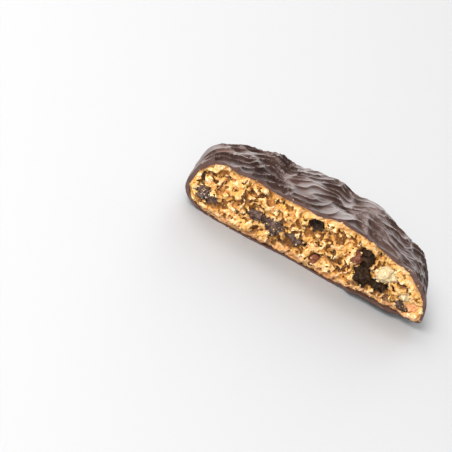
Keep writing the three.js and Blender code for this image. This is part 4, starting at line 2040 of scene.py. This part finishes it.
    def hidden_rest(self) -> tuple[Array, Array]:
        """Makes the crumb behind the torn front, which the coat hides.

        Returns:
            Its points and triangles.
        """
        directions, triangles = MeshWorks.ball(self.rest_subdivisions)
        whole = MeshWorks.mesh("crumb_rest", self.form.on_body(directions, CRUMB), triangles)
        front = self.reach_y[1] - self.rest_overlap * self.voxel
        shape = bmesh.new()
        for corner in product(self.rest_cut[0], (self.rest_cut_front, front), self.rest_cut[1]):
            shape.verts.new(Vector(corner) * MM)
        bmesh.ops.convex_hull(shape, input=shape.verts)
        box = MeshWorks.from_shape("crumb_rest_box", shape)
        return MeshWorks.arrays(MeshWorks.subtract("crumb_rest", whole, [box]))

    def build(self, placement: Placement) -> Object:
        """Builds the crumb: its torn front in full detail, and the hidden rest behind it.

        Args:
            placement: Where everything lies.

        Returns:
            The crumb.
        """
        solid, axes = self.solid_field()
        torn = MeshWorks.mesh("crumb_torn", *MeshWorks.main_piece(*MeshWorks.surface(solid, axes)))
        points, triangles = MeshWorks.arrays(MeshWorks.thin_out("crumb_front", torn, self.most_triangles))
        rest_points, rest_triangles = self.hidden_rest()
        triangles = np.concatenate([triangles, rest_triangles + len(points)])
        points = np.concatenate([points, rest_points])
        mesh = MeshWorks.mesh("cookie_crumb", points, triangles)
        below = self.below_ridges(*points.T, self.ridge_line(solid, axes), axes)
        CrumbMasks(self.form, self.face, self.grain).store(mesh, points, below)
        mesh.shade_smooth()
        return placement.lay("cookie_crumb", mesh, CrumbFinish().make(), "biscuit_crumb")


@dataclass
class BakedInPieces:
    """The chocolate chunks, dried fruit and nut in the broken face."""

    face: BrokenFace
    step: float = 0.13
    room: float = 1.0
    room_share: float = 1.2

    def build(self, piece: Inclusion, placement: Placement, material: Material) -> Object:
        """Builds one piece.

        Args:
            piece: Its place and sizes.
            placement: Where everything lies.
            material: Its finish.

        Returns:
            The piece.
        """
        long = max(piece.half[0], piece.half[2])
        reach = np.array([long, piece.half[1], long]) * self.room_share + self.room
        axes = [np.arange(c - r, c + r, self.step) for c, r in zip(piece.centre(self.face), reach)]
        grid = np.meshgrid(*axes, indexing="ij")
        points, triangles = MeshWorks.main_piece(*MeshWorks.surface(-piece.outside(self.face, *grid), axes))
        name = "baked_in_" + piece.node
        mesh = MeshWorks.mesh(name, points, triangles)
        mesh.shade_smooth()
        return placement.lay(name, mesh, material, piece.node)


@dataclass(frozen=True)
class Heap:
    """A place in the broken face where grains gather."""

    x: float
    z: float
    reach: float


@dataclass
class Grains:
    """Loose grains of one kind, which cling to the torn face and are joined into one mesh."""

    name: str
    count: int
    size: Pair
    seed: int
    heaps: tuple[Heap, ...] = ()
    slot: str = "crumb"
    facing: float = -0.35
    deepest: float = 1.6
    lowest: float = 0.5
    smallness: float = 3.0
    stretch: Pair = (0.6, 1.25)
    uneven: Pair = (0.75, 1.2)

    def spots(self, pieces: list[Object], placement: Placement) -> Array:
        """Finds places on what faces the front.

        Args:
            pieces: What the grains may cling to.
            placement: Where everything lies.

        Returns:
            All such places in millimetres, one a row.
        """
        found = []
        for piece in pieces:
            normals = np.empty(len(piece.data.vertices) * 3, dtype=np.float32)
            piece.data.vertex_normals.foreach_get("vector", normals)
            points = MeshWorks.points(piece.data) - placement.shift
            shown = (normals.reshape(-1, 3)[:, 1] < self.facing) & (points[:, 1] < self.deepest)
            found.append(points[shown & (points[:, 2] > self.lowest)])
        points = np.concatenate(found)
        if not self.heaps:
            return points
        near = [np.hypot(points[:, 0] - heap.x, points[:, 2] - heap.z) < heap.reach for heap in self.heaps]
        return points[np.any(near, axis=0)]

    def build(self, pieces: list[Object], placement: Placement, material: Material) -> Object:
        """Builds the grains.

        Args:
            pieces: What they cling to.
            placement: Where everything lies.
            material: Their finish.

        Returns:
            All of them as one object.
        """
        draw = np.random.default_rng(self.seed)
        directions, triangles = MeshWorks.ball(1)
        spots = self.spots(pieces, placement)
        spots = spots[draw.choice(len(spots), self.count, replace=False)]
        low, high = self.size
        radius = low + (high - low) * draw.random(self.count) ** self.smallness
        shape = radius[:, None] * draw.uniform(*self.stretch, (self.count, 3))
        uneven = draw.uniform(*self.uneven, (self.count, len(directions), 1))
        points = spots[:, None, :] + directions[None] * uneven * shape[:, None, :]
        joined = triangles[None] + (np.arange(self.count) * len(directions))[:, None, None]
        mesh = MeshWorks.mesh(self.name, points.reshape(-1, 3), joined.reshape(-1, 3))
        return placement.lay(self.name, mesh, material)



# ------------------------------------------------------------------------------------------------
# Studio
# ------------------------------------------------------------------------------------------------


@dataclass(frozen=True)
class Softbox:
    """A soft light that faces the cookie, in metres and watts."""

    name: str
    place: Triple
    size: Pair
    watts: float
    aim: ClassVar[Triple] = (0.0, 0.0, 0.008)

    def hang(self) -> Object:
        """Hangs the light.

        Returns:
            The light.
        """
        data = bpy.data.lights.new(self.name, "AREA")
        data.shape, data.energy = "RECTANGLE", self.watts
        data.size, data.size_y = self.size
        light = MeshWorks.object(self.name, data)
        light.location = self.place
        light.rotation_euler = (Vector(self.aim) - Vector(self.place)).to_track_quat("-Z", "Y").to_euler()
        return light


@dataclass
class Studio:
    """Pale floor, soft light, and a camera that sees the half as it leaned in the photograph."""

    azimuth: float = -5.0
    elevation: float = 25.0
    break_slope: float = 29.0
    distance: float = 0.48
    sensor: float = 36.0
    far_end: float = 10.0
    image_width: int = 452
    mm_per_pixel: float = 0.2555
    aim: Pair = (-20.9, -0.15)
    floor_half: float = 3.0
    sky_front: float = 0.24
    sky_back: float = 4.1
    sky_span: Pair = (-0.3, 0.6)
    sky_from: Triple = (-0.45, 0.7, -0.55)
    lights: tuple[Softbox, ...] = (
        Softbox("overhead_back", (-0.5, 0.45, 0.75), (0.7, 0.4), 5.0),
        Softbox("front_key", (-0.5, -0.5, 0.75), (0.55, 0.55), 11.5),
        Softbox("front_fill", (-0.2, -0.9, 0.35), (0.9, 0.6), 8.5),
    )

    def axes(self) -> tuple[Vector, Vector, Vector, Vector]:
        """Finds how the camera looks.

        Returns:
            Its unit vectors to the right, up and forward, and how far from the middle of the break it aims.
        """
        a, e = math.radians(self.azimuth), math.radians(self.elevation)
        forward = Vector((-math.sin(a) * math.cos(e), math.cos(a) * math.cos(e), -math.sin(e)))
        right = Vector((math.cos(a), math.sin(a), 0))
        up = right.cross(forward)
        level = math.atan(math.tan(a) * math.sin(e))
        turn = math.radians(self.break_slope)
        along = right * math.cos(level) - up * math.sin(level)
        above = right * math.sin(level) + up * math.cos(level)
        aim = (along * self.aim[0] + above * self.aim[1]) * MM
        right = along * math.cos(turn) + above * math.sin(turn)
        up = above * math.cos(turn) - along * math.sin(turn)
        return right, up, forward, aim

    def camera(self, placement: Placement) -> Object:
        """Sets the camera.

        Args:
            placement: Where the middle of the break lies.

        Returns:
            The camera.
        """
        right, up, forward, aim = self.axes()
        data = bpy.data.cameras.new("camera")
        data.sensor_width = self.sensor
        data.lens = self.sensor * self.distance / (self.image_width * self.mm_per_pixel * MM)
        data.clip_end = self.far_end
        camera = MeshWorks.object("camera", data)
        place = Vector(placement.shift) * MM + aim - forward * self.distance
        camera.matrix_world = Matrix.Translation(place) @ Matrix((right, up, -forward)).transposed().to_4x4()
        bpy.context.scene.camera = camera
        return camera

    def floor(self) -> Object:
        """Lays the floor under the cookie.

        Returns:
            The floor.
        """
        shape = bmesh.new()
        bmesh.ops.create_grid(shape, x_segments=4, y_segments=4, size=self.floor_half)
        floor = MeshWorks.object("floor", MeshWorks.from_shape("floor", shape))
        floor.data.materials.append(FloorFinish().make())
        return floor

    def sky(self) -> None:
        """Fills the room with soft white light, strongest low behind the cookie."""
        world = bpy.data.worlds.new("white_room")
        bpy.context.scene.world = world
        world.use_nodes = True
        world.node_tree.nodes.clear()
        sheet = NodeSheet(world.node_tree)
        place = sheet.add("TexCoord").outputs["Generated"]
        towards = sheet.add("VectorMath", {0: place, 1: self.sky_from}, operation="DOT_PRODUCT")
        strength = sheet.span(towards.outputs["Value"], self.sky_span, (self.sky_front, self.sky_back))
        light = sheet.add("Background", {"Strength": strength})
        sheet.add("OutputWorld", {"Surface": light.outputs[0]})

    def set_up(self, placement: Placement) -> None:
        """Sets floor, lights and camera.

        Args:
            placement: Where the middle of the break lies.
        """
        self.floor()
        self.sky()
        for light in self.lights:
            light.hang()
        bpy.context.scene.view_settings.view_transform = "Standard"
        self.camera(placement)


LOOSE_CRUMBS = Grains("loose_crumbs", 1700, (0.06, 0.24), 3)
CLINGING_CRUMBS = Grains("clinging_crumbs", 60, (0.08, 0.30), 5)
SUGAR_GRAINS = Grains("sugar_grains", 60, (0.08, 0.22), 4, (
    Heap(-29.6, 5.4, 1.7), Heap(-14.2, 4.6, 1.6), Heap(-9.9, 3.9, 0.7),
))


def main() -> None:
    """Builds the cookie and its studio, and reports each piece."""
    logging.basicConfig(level=logging.INFO, format="%(name)s: %(message)s")
    form, face, placement = CookieForm(), BrokenFace(), Placement()
    coat, crumb = Coat(form, face).build(placement), Crumb(form, face).build(placement)
    finishes = {kind: finish.make() for kind, finish in PIECE_FINISHES.items()}
    works = BakedInPieces(face)
    baked_in = [works.build(piece, placement, finishes[piece.kind]) for piece in INCLUSIONS]
    dry = [made for made, piece in zip(baked_in, INCLUSIONS) if piece.kind is not Kind.DARK_FRUIT]
    crumb_finish = crumb.data.materials[0]
    grains = [
        LOOSE_CRUMBS.build([crumb], placement, crumb_finish),
        CLINGING_CRUMBS.build(dry, placement, crumb_finish),
        SUGAR_GRAINS.build([crumb, *baked_in], placement, SugarFinish().make()),
    ]
    for piece in (coat, crumb, *baked_in, *grains):
        log.info("%s: %d triangles", piece.name, sum(len(p.vertices) - 2 for p in piece.data.polygons))
    Studio().set_up(placement)


if __name__ == "__main__":
    main()
